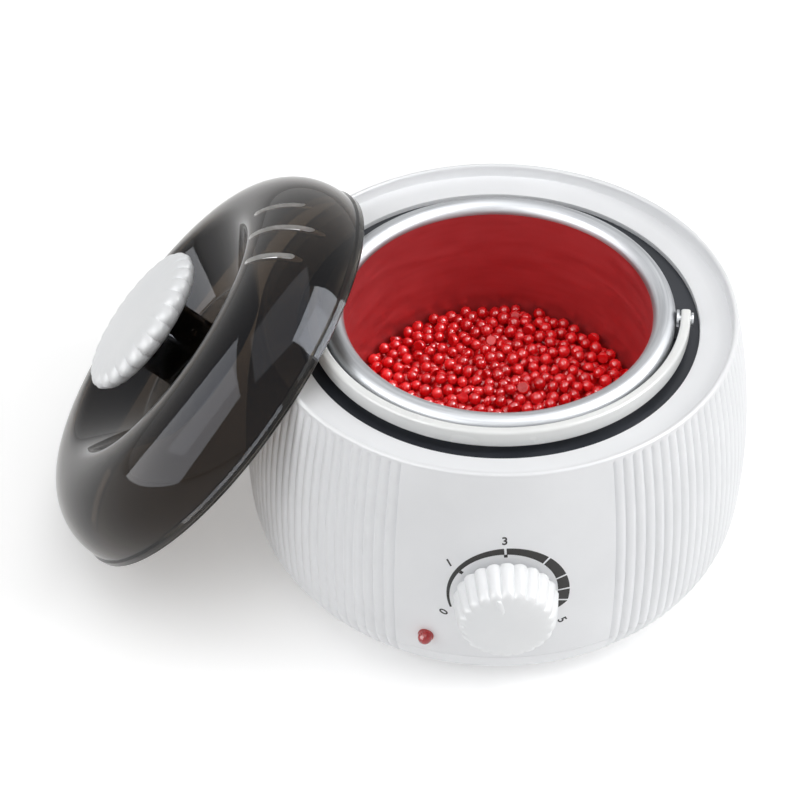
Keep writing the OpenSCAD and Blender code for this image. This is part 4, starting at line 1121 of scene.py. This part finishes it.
def stage():
    """A white world and floor, three lamps and two panels that only the gloss shows."""
    world = bpy.data.worlds.new("studio")
    bpy.context.scene.world = world
    world.use_nodes = True
    back = world.node_tree.nodes["Background"]
    set_inputs(back, {"Color": (1, 1, 1, 1)})
    world.node_tree.links.new(white_for_camera(world.node_tree, 0.38, 1.0),
                              back.inputs["Strength"])
    side = 6.0
    mesh = bpy.data.meshes.new("floor")
    mesh.from_pydata([(-side, -side, 0), (side, -side, 0), (side, side, 0), (-side, side, 0)], [],
                     [(0, 1, 2, 3)])
    floor = bpy.data.objects.new("floor", mesh)
    bpy.context.scene.collection.objects.link(floor)
    material, tree, shader, place = new_material("floor_white")
    tint(tree, shader, noise_node(tree, place, 6), srgb(247, 247, 247), srgb(250, 250, 250))
    set_inputs(shader, {"Roughness": 0.9, "Specular IOR Level": 0.1,
                        "Emission Color": (1, 1, 1, 1)})
    tree.links.new(white_for_camera(tree, 0.0, 0.3), shader.inputs["Emission Strength"])
    mesh.materials.append(material)
    soft_lamp("top_lamp", (0.1, -0.15, 1.5), (0, 0, 0.1), (1.3, 1.3), 8)
    soft_lamp("left_lamp", (-1.0, -0.6, 0.9), (0, 0, 0.08), (0.6, 1.0), 3.5)
    soft_lamp("right_lamp", (0.95, -0.25, 0.75), (-0.05, 0, 0.08), (0.5, 0.9), 5.5)
    soft_lamp("left_panel", (-1.0, -0.5, 0.62), (-0.1, -0.05, 0.1), (1.5, 1.4), 32, True)
    soft_lamp("right_panel", (0.82, -0.1, 0.92), (-0.07, -0.02, 0.13), (0.75, 0.85), 23, True)


# The photograph's view, taken as 800 by 800 pixels: a point on the axis at the ring's height
# lies at AIM_PX, seen from EYE_FAR away
EYE_FAR = 800
FOCAL_PX = 2140
FRAME_PX = 800
ELEVATION = 40.738
AZIMUTH = -3.2
ROLL = 1.466
AIM_PX = (497.8, 317.0)


def camera():
    """A camera at the photograph's angle, panned so that the object lies where it shows it."""
    aim = Vector((0, 0, RING_Z))
    a, e = math.radians(AZIMUTH), math.radians(ELEVATION)
    back = Vector((math.sin(a) * math.cos(e), -math.cos(a) * math.cos(e), math.sin(e)))
    right = Vector((math.cos(a), math.sin(a), 0))
    up = back.cross(right)
    r = math.radians(ROLL)
    right, up = (math.cos(r) * right + math.sin(r) * up, -math.sin(r) * right + math.cos(r) * up)
    facing = Matrix((right, up, back)).transposed()
    half = FRAME_PX / 2
    toward = Vector(((AIM_PX[0] - half) / FOCAL_PX, (half - AIM_PX[1]) / FOCAL_PX, -1))
    pan = toward.rotation_difference(Vector((0, 0, -1))).to_matrix()
    data = bpy.data.cameras.new("camera")
    data.sensor_width = 36
    data.lens = FOCAL_PX * data.sensor_width / FRAME_PX
    data.clip_start, data.clip_end = 0.05, 20
    obj = bpy.data.objects.new("camera", data)
    obj.matrix_world = Matrix.Translation((aim + back * EYE_FAR) * MM) @ (facing @ pan).to_4x4()
    bpy.context.scene.collection.objects.link(obj)
    bpy.context.scene.camera = obj


camera()
dress_frame()
housing_skin()
base_skin()
control_knob()
lamp_lens()
dial()
pot_shell()
wax_heap()
bail()
lid_shell()
lid_knob()
stage()
bpy.context.scene.view_settings.view_transform = "Standard"
